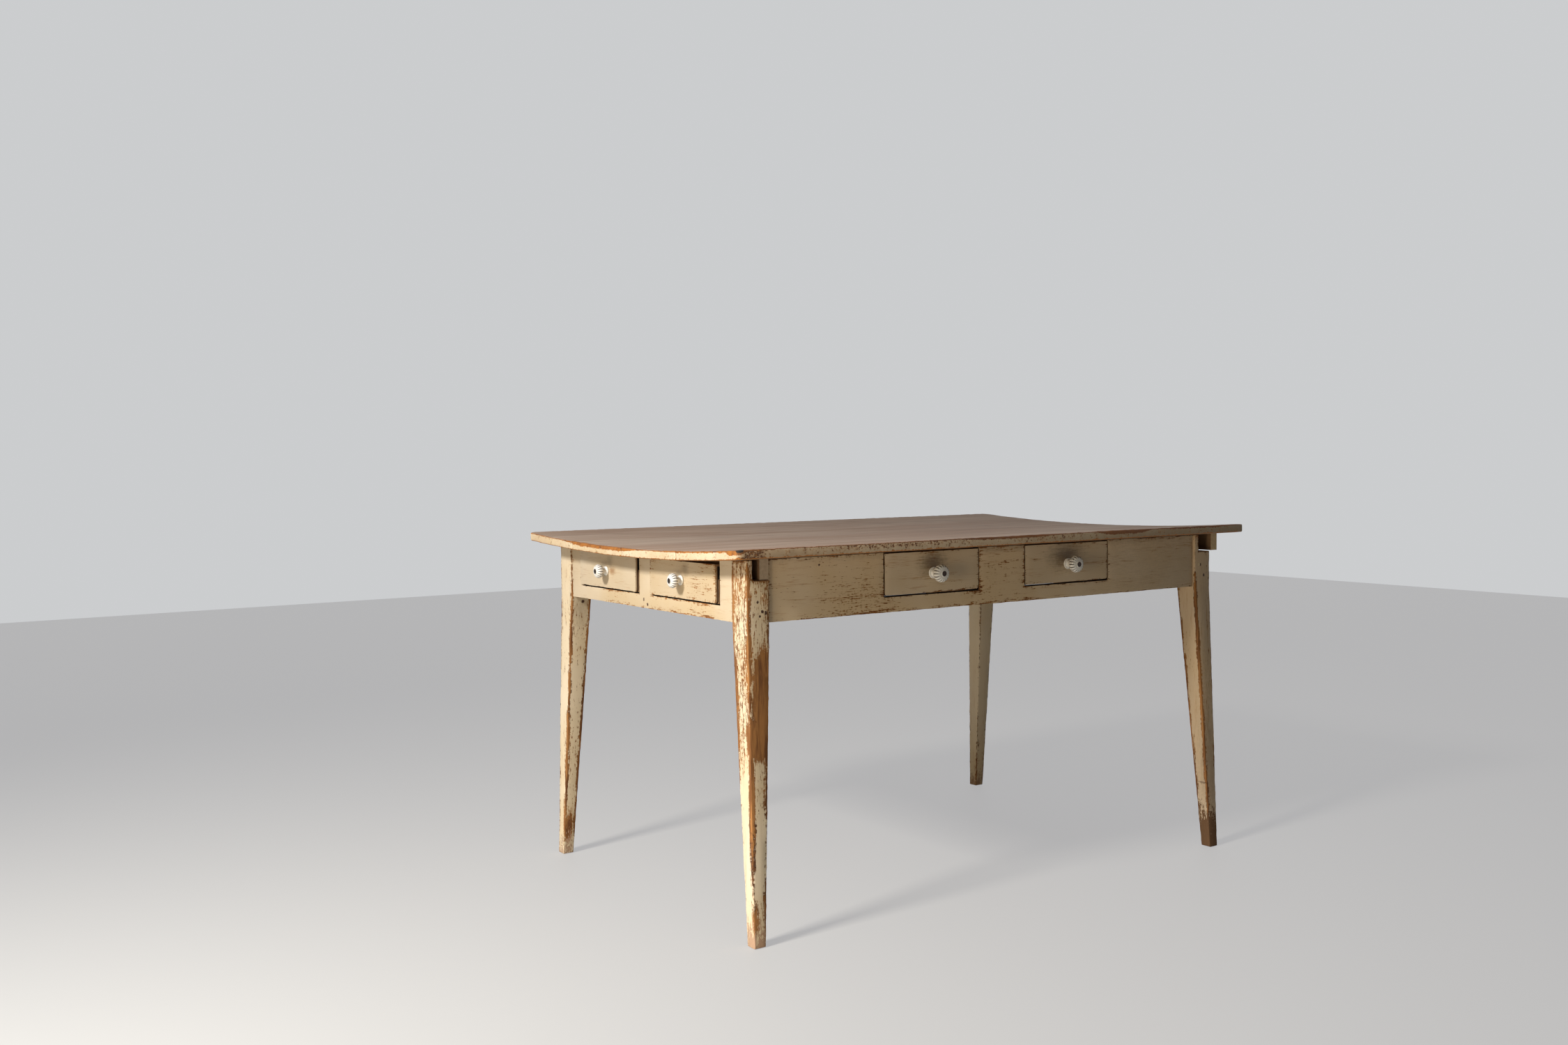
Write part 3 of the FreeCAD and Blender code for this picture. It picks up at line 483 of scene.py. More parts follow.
def battenWood(name, endColour, seed, look=battenLook):
    recipe = Recipe(name)
    broad = recipe.cloud((12, 2, 12), (seed, 0, 0), 4, 0.6, 0.4)
    fine = recipe.cloud((160, 25, 160), (0, seed, 0), 4, 0.6)
    wood = recipe.blend(recipe.ramp(broad, 0.35, 0.7), look["light"], look["dark"])
    end = recipe.ramp(abs(recipe.axis("Y")) + fine * 0.0006, *look["ends"])
    wood = recipe.shade(recipe.blend(end, wood, endColour), 0.7 + 0.6 * fine)
    return recipe.finish({"Base Color": wood, "Roughness": look["roughness"],
                          "Normal": recipe.bump(fine, look["relief"], 0.6)})


porcelainLook = {
    "glaze": colour("#f3f1ec"),
    "dull": colour("#e4e0d6"),
    "dirt": colour("#57514b"),
}


def porcelain(name, look=porcelainLook):     # white glaze with dirt in the flutes
    recipe = Recipe(name)
    groove = recipe.mark("groove")
    stain = recipe.cloud((90, 90, 90), (0, 0, 0), 3, 0.6)
    tint = recipe.blend(recipe.ramp(stain, 0.4, 0.8), look["glaze"], look["dull"])
    dirt = recipe.ramp(groove + (stain - 0.5) * 0.4, 0.10, 0.55) * 0.92
    tint = recipe.blend(dirt, tint, look["dirt"])
    return recipe.finish({"Base Color": tint, "Roughness": 0.14 + 0.2 * recipe.ramp(groove, 0.5, 1)})


ironLook = {
    "dark": colour("#2a2523"),
    "rust": colour("#5c4433"),
    "relief": 0.0002,
}


def darkMetal(name, look=ironLook):
    recipe = Recipe(name)
    spots = recipe.cloud((700, 700, 700), (0, 0, 0), 3, 0.6)
    tint = recipe.blend(recipe.ramp(spots, 0.4, 0.75), look["dark"], look["rust"])
    return recipe.finish({"Base Color": tint, "Roughness": 0.35 + 0.3 * spots, "Metallic": 0.7,
                          "Normal": recipe.bump(spots, look["relief"], 0.5)})


def alongArris(top, foot, reach, amount, steps=6):
    # worn places in a row down a leg's sloping arris
    places = []
    for step in range(steps):
        share = step / (steps - 1)
        centre = tuple(high + (low - high) * share for high, low in zip(top, foot))
        places.append((centre, reach, amount))
    return places


looks = {
    "leg_front_left": {
        "level": 0.09, "edgeWear": 0.40, "dirt": 0.5, "age": 0.05, "foot": 0.040,
        "worn": [((-0.646, -0.375, 0.56), (0.012, 0.08, 0.30), 0.34),      # crackle on the left face
                 ((-0.647, -0.352, 0.45), (0.014, 0.022, 0.13), 0.32),
                 ((-0.620, -0.405, 0.62), (0.05, 0.012, 0.16), 0.24),
                 ((-0.600, -0.404, 0.20), (0.008, 0.012, 0.20), 0.16),
                 ((-0.618, -0.418, 0.19), (0.032, 0.03, 0.26), 0.26)],
        "bare": [((-0.609, -0.405, 0.462), (0.031, 0.02, 0.115), 1.0),
                 ((-0.625, -0.406, 0.398), (0.030, 0.02, 0.045), 0.8),
                 ((-0.6445, -0.408, 0.30), (0.007, 0.009, 0.17), 0.5),
                 ((-0.642, -0.416, 0.055), (0.008, 0.01, 0.035), 0.3)],
        "holes": [((-0.622, -0.402, 0.655), (0.004, 0.01, 0.004), 1),
                  ((-0.612, -0.402, 0.637), (0.005, 0.01, 0.005), 1),
                  ((-0.618, -0.402, 0.628), (0.004, 0.01, 0.004), 1),
                  ((-0.604, -0.402, 0.634), (0.004, 0.01, 0.006), 1)]},
    "leg_back_left": {
        "level": 0.05, "edgeWear": 0.60, "dirt": 0.5, "age": 0.0, "foot": 0.030,
        "worn": [((-0.62, 0.37, 0.38), (0.06, 0.06, 0.5), 0.20),
                 *alongArris((-0.646, 0.344, 0.58), (-0.642, 0.410, 0.08), (0.009, 0.009, 0.09), 0.34),
                 *alongArris((-0.596, 0.344, 0.58), (-0.613, 0.410, 0.08), (0.009, 0.009, 0.09), 0.26)],
        "bare": [((-0.632, 0.410, 0.062), (0.010, 0.012, 0.040), 0.4)],
        "grimeAndShade": [((-0.62, 0.350, 0.60), (0.05, 0.02, 0.10), 0.35)],
        "holes": [((-0.617, 0.344, 0.60), (0.005, 0.01, 0.005), 1)]},
    "leg_front_right": {
        # its high age and brightness factor below 1 darken it, partly painted shade for its place farthest
        # from the window lamp
        "level": 0.06, "edgeWear": 0.56, "dirt": 0.6, "age": 0.44, "paintedLightLevel": 0.96,
        "foot": 0.094, "footColour": colour("#6f5238"),
        "grimeAndShade": [((0.625, -0.430, 0.20), (0.08, 0.05, 0.32), 0.45),
                  ((0.632, -0.402, 0.50), (0.03, 0.03, 0.25), 0.30)],
        "worn": [((0.62, -0.402, 0.60), (0.05, 0.02, 0.15), 0.12),
                 ((0.600, -0.38, 0.45), (0.02, 0.02, 0.12), 0.10),
                 *alongArris((0.596, -0.402, 0.58), (0.613, -0.425, 0.10), (0.010, 0.010, 0.09), 0.40),
                 *alongArris((0.596, -0.345, 0.58), (0.613, -0.393, 0.10), (0.011, 0.011, 0.09), 0.36)],
        "holes": [((0.612, -0.401, 0.665), (0.004, 0.01, 0.004), 1),
                  ((0.625, -0.401, 0.640), (0.004, 0.01, 0.005), 1),
                  ((0.611, -0.410, 0.152), (0.015, 0.016, 0.003), 0.5)]},
    "leg_back_right": {
        "level": 0.07, "edgeWear": 0.60, "dirt": 0.4, "age": 0.0, "foot": 0.03},
    "apron_front": {
        "level": 0.09, "edgeWear": 0.38, "dirt": 0.8, "age": 0.26, "paintedLightLevel": 1.06,
        "worn": [((-0.48, -0.394, 0.68), (0.18, 0.02, 0.08), 0.12),
                 ((0.0, -0.394, 0.70), (0.07, 0.02, 0.05), 0.08)],
        # painted shade: a band under the top's overhang, and a darkening towards the right end where less
        # light reaches, partly grime
        "grimeAndShade": [((0.0, -0.394, 0.735), (0.8, 0.02, 0.02), 0.35),
                  ((0.62, -0.394, 0.68), (0.45, 0.1, 0.3), 0.30)],
        "holes": [((-0.475, -0.394, 0.718), (0.003, 0.01, 0.003), 1)]},
    "apron_back": {"level": 0.06, "edgeWear": 0.36, "dirt": 0.8, "age": 0.22},
    "apron_left": {
        "level": 0.02, "edgeWear": 0.38, "dirt": 0.4, "age": 0.14, "paintedLightLevel": 0.84,
        "holes": [((-0.644, 0.005, 0.632), (0.01, 0.004, 0.004), 1),
                  ((-0.644, -0.01, 0.622), (0.01, 0.005, 0.004), 1)]},
    "apron_right": {"level": 0.05, "edgeWear": 0.36, "dirt": 0.7, "age": 0.15},
    "front_left_drawer_face": {
        "level": 0.09, "edgeWear": 0.38, "dirt": 0.8, "age": 0.22, "paintedLightLevel": 0.95,
        "grimeAndShade": [((-0.19, -0.394, 0.705), (0.055, 0.02, 0.042), 0.75)],
        "worn": [((-0.12, -0.394, 0.66), (0.06, 0.02, 0.03), 0.10)]},
    "front_right_drawer_face": {
        "level": 0.08, "edgeWear": 0.38, "dirt": 0.8, "age": 0.24, "paintedLightLevel": 0.93,
        "grimeAndShade": [((0.185, -0.394, 0.705), (0.08, 0.02, 0.045), 0.80)],
        "worn": [((0.15, -0.394, 0.70), (0.08, 0.02, 0.03), 0.12)]},
    "end_near_drawer_face": {
        "level": 0.05, "edgeWear": 0.36, "dirt": 0.6, "age": 0.16, "paintedLightLevel": 0.82,
        "worn": [((-0.6485, -0.22, 0.68), (0.02, 0.08, 0.04), 0.14)],
        "grimeAndShade": [((-0.6485, -0.175, 0.705), (0.02, 0.022, 0.022), 0.35)]},
    "end_far_drawer_face": {
        "level": 0.04, "edgeWear": 0.36, "dirt": 0.5, "age": 0.12, "paintedLightLevel": 0.80,
        "stain": [((-0.6485, 0.138, 0.684), (0.02, 0.020, 0.014), 0.7)],
        "grimeAndShade": [((-0.6485, 0.150, 0.705), (0.02, 0.022, 0.020), 0.30)]},
}


def paintFor(node, seed):
    grain = "Z"
    if not node.startswith("leg"):
        grain = "X" if "front_" in node or node in ("apron_front", "apron_back") else "Y"
    return paintedWood("paint of " + node, grain, seed, looks[node])


boardTops = {number: tabletop("top wood %d" % number, 1.7 + 2.9 * number) for number in range(1, 5)}
paints = {node: paintFor(node, 3.1 + 1.7 * i) for i, node in enumerate(looks)}
pineX = rawPine("pine along X", "X", 2.3)
pineY = rawPine("pine along Y", "Y", 4.9)
greyBatten = battenWood("weathered batten", battenLook["weathered"], 1.9)
creamBatten = battenWood("painted batten", battenLook["painted"], 6.3)
white = porcelain("white porcelain")
iron = darkMetal("dark iron")
for name, node in cadNodes.items():
    material = pineX
    if "bolt" in name or "nut" in name or "nail" in name:
        material = iron
    elif name == "joint_pegs":
        material = paints["leg_front_left"]
    elif name == "batten_left":
        material = greyBatten
    elif name == "batten_right":
        material = creamBatten
    elif name.startswith(("front_drawer_runner", "cross", "front")):
        material = pineY
    dress(node, material)
print("materials made")

woodWork = {
    "arris": 0.0012,        # how far sharp edges are rounded over
    "arrisSteps": 2,
    "arrisFullness": 0.6,
    "sharpAngle": 35,       # degrees above which an edge is an arris
    "smoothAngle": 32,      # degrees up to which the shading is smooth
    "edgeReach": 0.014,     # how far from an arris the wear reaches
    "chipDepth": 0.0018,
    "chipSize": 0.014,
    "waveDepth": 0.0006,
    "waveSize": 0.12,
    "rim": (0.0025, 0.0065),    # cuts beside each end of a side
    "stepAlong": 0.006,     # spacing of cuts along the grain
    "stepAcross": 0.012,
}
nearby = 1e-5               # places closer than this are the same


def addBlock(name, low, high):           # a box in edit mode, at its size and place
    bpy.ops.object.select_all(action="DESELECT")
    low, high = Vector(low), Vector(high)
    bpy.ops.mesh.primitive_cube_add(size=1, location=(low + high) / 2)
    block = bpy.context.object
    block.scale = high - low
    bpy.ops.object.transform_apply(location=True, rotation=False, scale=True)
    block.name = block.data.name = name
    bpy.ops.object.mode_set(mode="EDIT")
    return block


def choose(kind, test):                  # selects the vertices, edges or faces for which the test holds
    bpy.ops.mesh.select_mode(type=kind)
    bpy.ops.mesh.select_all(action="DESELECT")
    edited = bpy.context.edit_object.data
    mesh = bmesh.from_edit_mesh(edited)
    for part in {"VERT": mesh.verts, "EDGE": mesh.edges, "FACE": mesh.faces}[kind]:
        if test(part):
            part.select_set(True)
    mesh.select_flush_mode()
    bmesh.update_edit_mesh(edited)


def liesAt(edge, axis, *places):         # whether both ends of an edge are at one of the places
    return any(all(abs(end.co[axis] - place) < nearby for end in edge.verts) for place in places)


def facesUp(face):
    return face.normal.z > 0.9


def slicePiece(axis, places):            # cuts the whole piece square to an axis
    for place in places:
        point = Vector((0, 0, 0))
        point[axis] = place
        normal = Vector((0, 0, 0))
        normal[axis] = 1
        bpy.ops.mesh.select_all(action="SELECT")
        bpy.ops.mesh.bisect(plane_co=point, plane_no=normal)


def evenly(low, high, step, rim=()):     # places between low and high, with closer ones at both ends
    margin = rim[-1] if rim else 0
    count = max(1, round((high - low - 2 * margin) / step))
    inner = [low + margin + (high - low - 2 * margin) * i / count for i in range(1, count)]
    return [low + cut for cut in rim] + inner + [high - cut for cut in rim]


def extrudeUp(distance):
    bpy.ops.mesh.extrude_region_move(TRANSFORM_OT_translate={"value": (0, 0, distance)})


def easeArrises(sizes, test=lambda edge: True):
    # rounds over the sharp edges for which the test holds, and gives where they were
    angle = math.radians(sizes["sharpAngle"])

    def isArris(edge):
        return edge.is_manifold and edge.calc_face_angle() > angle and test(edge)

    mesh = bmesh.from_edit_mesh(bpy.context.edit_object.data)
    lines = [[np.array(end.co) for end in edge.verts] for edge in mesh.edges if isArris(edge)]
    choose("EDGE", isArris)
    bpy.ops.mesh.bevel(offset=sizes["arris"], segments=sizes["arrisSteps"],
                       profile=sizes["arrisFullness"], affect="EDGES")
    return lines


def outerLines(lines, axis, outer, within=0.004):
    # those near the outer side, because wear chips only that side
    return [line for line in lines if all(abs(end[axis] - outer) < within for end in line)]


def leaveEdit():                         # turns the faces outwards and closes edit mode
    bpy.ops.mesh.select_all(action="SELECT")
    bpy.ops.mesh.normals_make_consistent(inside=False)
    bpy.ops.object.mode_set(mode="OBJECT")


def writeMark(piece, name, values):      # one value for each vertex, for the material to read
    mark = piece.data.attributes.new(name, "FLOAT", "POINT")
    mark.data.foreach_set("value", np.array(values, dtype=np.float32))


def markEdges(piece, lines, reach):      # writes how near each vertex is to an arris, from 0 to 1
    points = np.array([vertex.co for vertex in piece.data.vertices])
    nearest = np.full(len(points), 1.0)
    for start, end in lines:
        along = end - start
        share = np.clip((points - start) @ along / (along @ along), 0, 1)
        nearest = np.minimum(nearest, np.linalg.norm(points - start - share[:, None] * along, axis=1))
    near = np.clip(1 - nearest / reach, 0, 1)
    writeMark(piece, "edge", near)
    group = piece.vertex_groups.new(name="edge")
    for index in np.nonzero(near > 0)[0]:
        group.add([int(index)], float(near[index]), "REPLACE")


def markGaps(piece, amount):             # amount gives 0.5 for unpainted wood and 1 for painted shade deep in a gap
    writeMark(piece, "gap", [amount(vertex.co) for vertex in piece.data.vertices])


def pushIn(piece, name, depth, size, group=""):
    texture = bpy.data.textures.new(name, "CLOUDS")
    texture.noise_scale = size
    texture.noise_depth = 3
    press = piece.modifiers.new(name, "DISPLACE")
    press.texture = texture
    press.texture_coords = "LOCAL"
    press.vertex_group = group
    press.mid_level = 0
    press.strength = -depth
    bpy.ops.object.modifier_apply(modifier=name)


def roughen(piece, sizes):               # chips the marked arrises and waves the sides
    pushIn(piece, "chips", sizes["chipDepth"], sizes["chipSize"], "edge")
    pushIn(piece, "waves", sizes["waveDepth"], sizes["waveSize"])
    bpy.ops.object.shade_smooth_by_angle(angle=math.radians(sizes["smoothAngle"]))


def ageWood(piece, sizes, lines, low, high, grain):
    # the edited piece gets cuts, worn arrises and slight waves, and becomes a finished object
    for axis in range(3):
        step = sizes["stepAlong"] if axis == grain else sizes["stepAcross"]
        slicePiece(axis, evenly(low[axis], high[axis], step, sizes["rim"]))
    leaveEdit()
    markEdges(piece, lines, sizes["edgeReach"])
    roughen(piece, sizes)


def replaceNode(piece, node, body, material):
    dress(piece, material)
    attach(piece, body)
    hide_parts(node)


topSizes = {
    "thick": 0.0205,
    "cup": 0.016,           # how far the middle lies below the long edges
    "corner": 0.014,        # rounding of the four corners
    "cornerSteps": 6,
    "underGap": 0.0002,     # room between the top and what is scribed to it
}
boardWork = dict(woodWork, arris=0.004, arrisSteps=3, arrisFullness=0.5, edgeReach=0.02,
                 chipDepth=0.0022, chipSize=0.016, waveSize=0.15, stepAcross=0.014)
boardBoxes = [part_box("top_board_%d" % number) for number in range(1, 5)]
topLow = Vector([min(low[axis] for low, high in boardBoxes) for axis in range(3)])
topHigh = Vector([max(high[axis] for low, high in boardBoxes) for axis in range(3)])
middleY = (topLow.y + topHigh.y) / 2
cupRadius = (((topHigh.y - topLow.y) / 2) ** 2 + topSizes["cup"] ** 2) / (2 * topSizes["cup"])


def topHeight(y, radius=cupRadius):      # height of the cupped upper face, or of one concentric with it
    return topHigh.z - topSizes["cup"] + cupRadius - math.sqrt(radius ** 2 - (y - middleY) ** 2)


def scribeToTop(piece, above):           # fits what is higher to the underside of the top
    radius = cupRadius + topSizes["thick"] + topSizes["underGap"]
    mesh = bmesh.from_edit_mesh(piece.data)
    for vertex in mesh.verts:
        if vertex.co.z > above:
            vertex.co.z = topHeight(vertex.co.y, radius)
    bmesh.update_edit_mesh(piece.data)


def makeBoard(number, sizes=topSizes, work=boardWork):
    node = "top_board_%d" % number
    low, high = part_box(node)
    board = addBlock("worn_" + node, (low.x, low.y, 0), (high.x, high.y, 1))
    outer = {1: low.y, 4: high.y}.get(number)
    if outer is not None:                # the first and the last board have rounded corners
        choose("EDGE", lambda edge: liesAt(edge, 1, outer) and liesAt(edge, 0, low.x, high.x))
        bpy.ops.mesh.bevel(offset=sizes["corner"], segments=sizes["cornerSteps"], affect="EDGES")
    slicePiece(1, evenly(low.y, high.y, work["stepAcross"]))
    mesh = bmesh.from_edit_mesh(board.data)
    for vertex in mesh.verts:            # bends the flat slab, from 0 to 1 high so far, to the cup
        drop = sizes["thick"] if vertex.co.z < 0.5 else 0
        vertex.co.z = topHeight(vertex.co.y, cupRadius + drop)
    bmesh.update_edit_mesh(board.data)

    def atOutline(edge):
        middle = (edge.verts[0].co + edge.verts[1].co) / 2
        return min(middle.x - topLow.x, topHigh.x - middle.x,
                   middle.y - topLow.y, topHigh.y - middle.y) < sizes["corner"] / 2

    lines = easeArrises(work, atOutline)
    slicePiece(0, evenly(low.x, high.x, work["stepAlong"], work["rim"]))
    leaveEdit()
    markEdges(board, lines, work["edgeReach"])
    places = np.array([vertex.co for vertex in board.data.vertices])
    down = np.array([topHeight(y) for y in places[:, 1]]) - places[:, 2]
    inwards = np.minimum(places - np.array(topLow), np.array(topHigh) - places)[:, :2].min(axis=1)
    below = (down + np.where(down > sizes["thick"] / 2, inwards, -inwards)) / sizes["thick"]
    writeMark(board, "below", np.clip(below, -1, 2))
    roughen(board, work)
    replaceNode(board, node, "frame", boardTops[number])


legSizes = {
    "headStart": 0.613,     # where the taper ends
    "notchFloor": 0.697,
    "cheek": 0.014,         # what is left standing beside the batten notch
    "cheekRise": 0.02,      # its height before it is scribed to the top
    "bareBelow": 0.003,     # how far down from the notch's floor the wood is unpainted
    "bareBeside": 0.002,    # and how far from the cheek that starts
}
legWork = dict(woodWork, arris=0.0025)


def makeLeg(corner, sizes=legSizes, work=legWork):
    node = "leg_" + corner
    points = np.array([vertex.co for vertex in cadNodes[node].data.vertices])
    foot = points[points[:, 2] < nearby][:, :2]
    head = points[points[:, 2] > sizes["headStart"] + nearby][:, :2]
    footLow, footHigh = foot.min(axis=0), foot.max(axis=0)
    headLow, headHigh = head.min(axis=0), head.max(axis=0)
    leg = addBlock("worn_" + node, (*footLow, 0), (*footHigh, sizes["headStart"]))
    top = Vector((*(footLow + footHigh) / 2, sizes["headStart"]))
    choose("FACE", facesUp)
    wider = (headHigh - headLow) / (footHigh - footLow)
    bpy.ops.transform.resize(value=(*wider, 1), center_override=top)
    shift = (headLow + headHigh - footLow - footHigh) / 2
    bpy.ops.transform.translate(value=(*shift, 0))
    extrudeUp(sizes["notchFloor"] - sizes["headStart"])
    cheek = headLow[0] + sizes["cheek"]
    slicePiece(0, [cheek])
    choose("FACE", lambda face: facesUp(face) and face.calc_center_median().x < cheek
           and face.calc_center_median().z > sizes["notchFloor"] - nearby)
    extrudeUp(sizes["cheekRise"])
    scribeToTop(leg, sizes["notchFloor"] + nearby)
    lines = easeArrises(work)
    ageWood(leg, work, lines, points.min(axis=0), points.max(axis=0), 2)
    bareAbove = sizes["notchFloor"] - sizes["bareBelow"]
    bareFrom = cheek + sizes["bareBeside"]
    markGaps(leg, lambda place: 0.5 if place.z > bareAbove and place.x > bareFrom else 0)
    replaceNode(leg, node, "frame", paints[node])


apronSides = {                           # ends, faces, drawer openings and the height of the sill under them
    "front": {"along": (-0.595, 0.595), "across": (-0.394, -0.370), "sill": 0.645,
              "holes": ((-0.316, -0.064), (0.064, 0.316))},
    "back": {"along": (-0.595, 0.595), "across": (0.370, 0.394), "sill": 0.645, "holes": ()},
    "left": {"along": (-0.344, 0.344), "across": (-0.644, -0.620), "sill": 0.643,
             "holes": ((-0.298, -0.026), (0.026, 0.298))},
    "right": {"along": (-0.344, 0.344), "across": (0.620, 0.644), "sill": 0.643, "holes": ()},
}
apronSizes = {
    "bottom": 0.613,
    "thick": 0.024,
    "rise": 0.09,           # what stands above the sill, before it is scribed to the top
    "scribeStep": 0.03,     # spacing of the points that follow the cup
    "cutsTo": 0.74,         # height up to which cuts are spread
    "innerSkin": 0.002,     # what counts as the unpainted inner face
    "gapBehind": 0.003,     # how far behind the outer face an opening gets painted shade and how far the painted shade goes on below the sill
    "gapBelow": 0.006,      # and how far the dark goes on below the sill
    "gapBeside": 0.001,     # and to both sides
}


def makeApron(side, sizes=apronSizes):
    node = "apron_" + side
    shape = apronSides[side]
    holes, sill = shape["holes"], shape["sill"]
    grain = 0 if side in ("front", "back") else 1
    low, high = [0, 0, sizes["bottom"]], [0, 0, sill]
    low[grain], high[grain] = shape["along"]
    low[1 - grain], high[1 - grain] = shape["across"]
    apron = addBlock("worn_" + node, low, high)
    slicePiece(grain, [end for hole in holes for end in hole])
    choose("FACE", lambda face: facesUp(face)
           and not any(start < face.calc_center_median()[grain] < end for start, end in holes))
    extrudeUp(sizes["rise"])
    if grain == 1:
        slicePiece(1, evenly(low[1], high[1], sizes["scribeStep"]))
    scribeToTop(apron, sill + nearby)
    outer = low[1 - grain] if side in ("front", "left") else high[1 - grain]
    lines = outerLines(easeArrises(woodWork), 1 - grain, outer)
    ageWood(apron, woodWork, lines, low, (*high[:2], sizes["cutsTo"]), grain)

    def gapAt(place):
        deep = abs(place[1 - grain] - outer)
        if deep > sizes["thick"] - sizes["innerSkin"]:
            return 0.5
        beside = sizes["gapBeside"]
        inHole = any(start - beside < place[grain] < end + beside for start, end in holes)
        return 1 if inHole and place.z > sill - sizes["gapBelow"] and deep > sizes["gapBehind"] else 0

    markGaps(apron, gapAt)
    replaceNode(apron, node, "frame", paints[node])


faceSizes = {
    "corner": 0.006,        # rounding of the lower corners
    "cornerSteps": 4,
    "lip": 0.0018,          # how far the back of the lower edge hangs down, which closes the gap to sight
    "scribeStep": 0.04,     # spacing of the points that follow the cup
    "backSkin": 0.0015,     # what counts as the unpainted back
    "gapBehind": 0.005,     # how far behind the front the edges get painted shade what counts as the upper edge, which gets a little less painted shade
    "upperSkin": 0.003,     # what counts as the upper edge, which is a little less dark
}


def makeFace(drawer, sizes=faceSizes):
    node = drawer + "_face"
    low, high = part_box(node)
    front = drawer.startswith("front")
    face = addBlock("worn_" + node, low, high)
    if not front:
        slicePiece(1, evenly(low.y, high.y, sizes["scribeStep"]))
    depth = 1 if front else 0
    wide = 1 - depth
    choose("EDGE", lambda edge: liesAt(edge, 2, low.z) and liesAt(edge, wide, low[wide], high[wide]))
    bpy.ops.mesh.bevel(offset=sizes["corner"], segments=sizes["cornerSteps"], affect="EDGES")
    back = high[depth]
    choose("VERT", lambda corner: corner.co.z < low.z + nearby and corner.co[depth] > back - nearby)
    bpy.ops.transform.translate(value=(0, 0, -sizes["lip"]))
    lines = outerLines(easeArrises(woodWork), depth, low[depth])
    ageWood(face, woodWork, lines, low, high, wide)

    def gapAt(place):
        if back - place[depth] < sizes["backSkin"]:
            return 0.5
        if place[depth] - low[depth] < sizes["gapBehind"]:
            return 0
        return 0.6 if place.z > high.z - sizes["upperSkin"] else 1

    markGaps(face, gapAt)
    replaceNode(face, node, drawer, paints[node])


knobShape = {
    "lobes": 16,
    "stepsPerLobe": 8,
    "fluteDepth": 0.11,     # share of the radius
    "fluteSharpness": 2.2,
    "base": ((0.94, 0), (1, 0.0006), (1, 0.0022), (0.96, 0.003)),   # shares of the base's radius, and heights
    "hollowSteps": 5,       # rings of the hollow between base and stem
    "headSteps": 12,
    "ring": 0.0078,         # radius of the raised ring round the bolt head
    "ringRise": 0.0012,
    "ringSteps": ((0.985, 0.25), (0.97, 0.8), (0.9, 1)),    # shares of its radius and of its rise
    "seat": 0.0054,         # radius of the dark bolt head
    "seatSteps": ((1.06, 0.00108), (1.04, -0.001)),     # shares of its radius, and heights over the head
    "smoothAngle": 50,
}
frontKnob = {"base": 0.012, "stem": 0.0075, "dia": 0.037, "widest": 0.026}
endKnob = {"base": 0.0105, "stem": 0.0065, "dia": 0.0305, "widest": 0.0195}


def knobProfile(base, stem, dia, widest, shape=knobShape):
    # radius and height of each ring, from the drawer to the bolt head
    points = [(base * share, height) for share, height in shape["base"]]
    rim, foot = points[-1][1], base * 0.92
    for i in range(1, shape["hollowSteps"] + 1):
        turn = math.pi / 2 * i / shape["hollowSteps"]
        radius = stem + (foot - stem) * (1 - math.sin(turn))
        points.append((radius, rim + (base - stem) * (1 - math.cos(turn))))
    bead = dia / 4
    back = math.acos((stem - bead) / bead)
    crown = math.acos((shape["ring"] - bead) / bead)
    for i in range(shape["headSteps"] + 1):
        turn = -back + (back + crown) * i / shape["headSteps"]
        points.append((bead + bead * math.cos(turn), widest + bead * math.sin(turn)))
    top = points[-1][1]
    points += [(shape["ring"] * share, top + shape["ringRise"] * rise) for share, rise in shape["ringSteps"]]
    points += [(shape["seat"] * share, top + rise) for share, rise in shape["seatSteps"]]
    return points


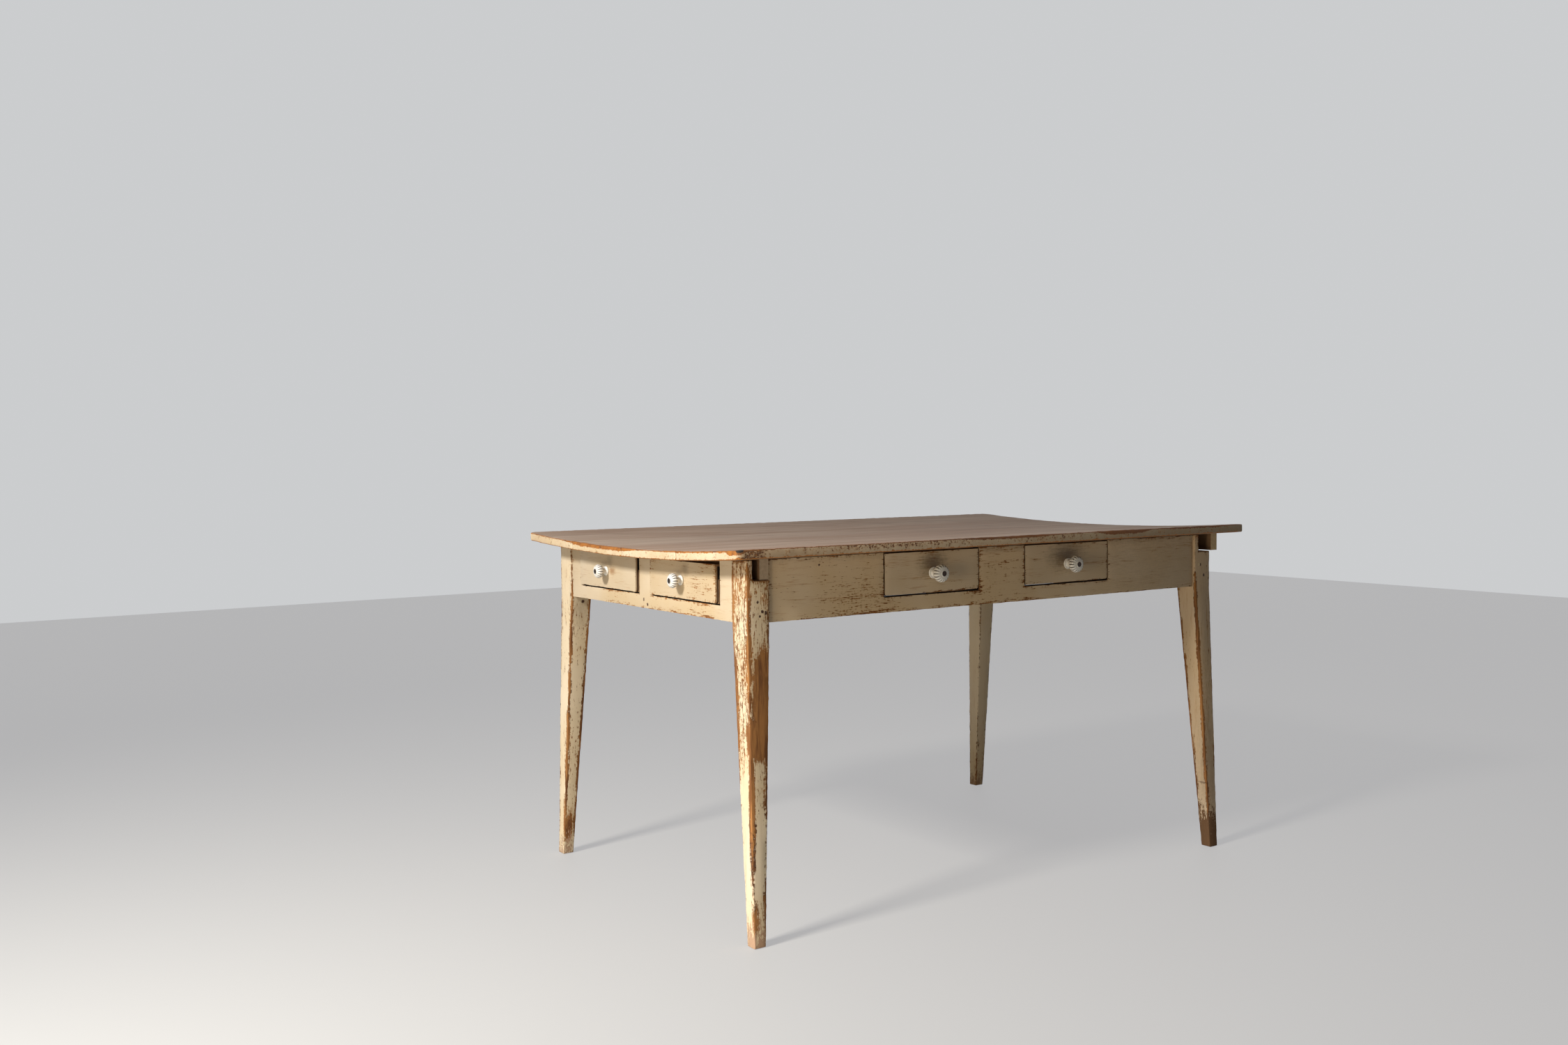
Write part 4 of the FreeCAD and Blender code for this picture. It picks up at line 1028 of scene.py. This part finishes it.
def makeKnob(drawer, shape=knobShape):
    low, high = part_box(drawer + "_knob")
    middle = (low + high) / 2
    sizes = frontKnob
    place = (middle.x, high.y, middle.z)
    turn = (math.radians(90), 0, 0)
    if not drawer.startswith("front"):
        sizes = endKnob
        place = (high.x, middle.y, middle.z)
        turn = (math.radians(90), 0, math.radians(-90))
    points = knobProfile(**sizes)
    bpy.ops.object.select_all(action="DESELECT")
    bpy.ops.mesh.primitive_circle_add(vertices=shape["lobes"] * shape["stepsPerLobe"],
                                      radius=points[0][0], fill_type="NGON")
    knob = bpy.context.object
    knob.name = knob.data.name = drawer + "_fluted_knob"
    bpy.ops.object.mode_set(mode="EDIT")
    bpy.ops.mesh.select_all(action="SELECT")
    for (lastRadius, lastHeight), (radius, height) in zip(points, points[1:]):
        extrudeUp(height - lastHeight)
        wider = radius / lastRadius
        bpy.ops.transform.resize(value=(wider, wider, 1), center_override=(0, 0, height))
    leaveEdit()
    bead = sizes["dia"] / 4
    grooves = []
    for vertex in knob.data.vertices:    # sinks the flutes between the lobes of the head
        radius = math.hypot(vertex.co.x, vertex.co.y)
        away = min(1, abs(vertex.co.z - sizes["widest"]) / bead)
        onHead = radius > shape["ring"] * 0.99 and vertex.co.z > sizes["widest"] - bead
        lobe = abs(math.sin(shape["lobes"] / 2 * math.atan2(vertex.co.y, vertex.co.x)))
        valley = (1 - lobe) ** shape["fluteSharpness"] * (1 - away ** 5) if onHead else 0
        vertex.co.x *= 1 - shape["fluteDepth"] * valley
        vertex.co.y *= 1 - shape["fluteDepth"] * valley
        grooves.append(valley)
    writeMark(knob, "groove", grooves)
    knob.rotation_euler = turn
    knob.location = place
    bpy.ops.object.transform_apply(location=True, rotation=True, scale=True)
    bpy.ops.object.shade_smooth_by_angle(angle=math.radians(shape["smoothAngle"]))
    replaceNode(knob, drawer + "_knob", drawer, white)


for number in range(1, 5):
    makeBoard(number)
print("top made")
for corner in ("front_left", "front_right", "back_left", "back_right"):
    makeLeg(corner)
print("legs made")
for side in apronSides:
    makeApron(side)
print("aprons made")
for drawer in ("front_left_drawer", "front_right_drawer", "end_near_drawer", "end_far_drawer"):
    makeFace(drawer)
    makeKnob(drawer)
print("drawers made")

bpy.context.scene.view_settings.view_transform = "Standard"
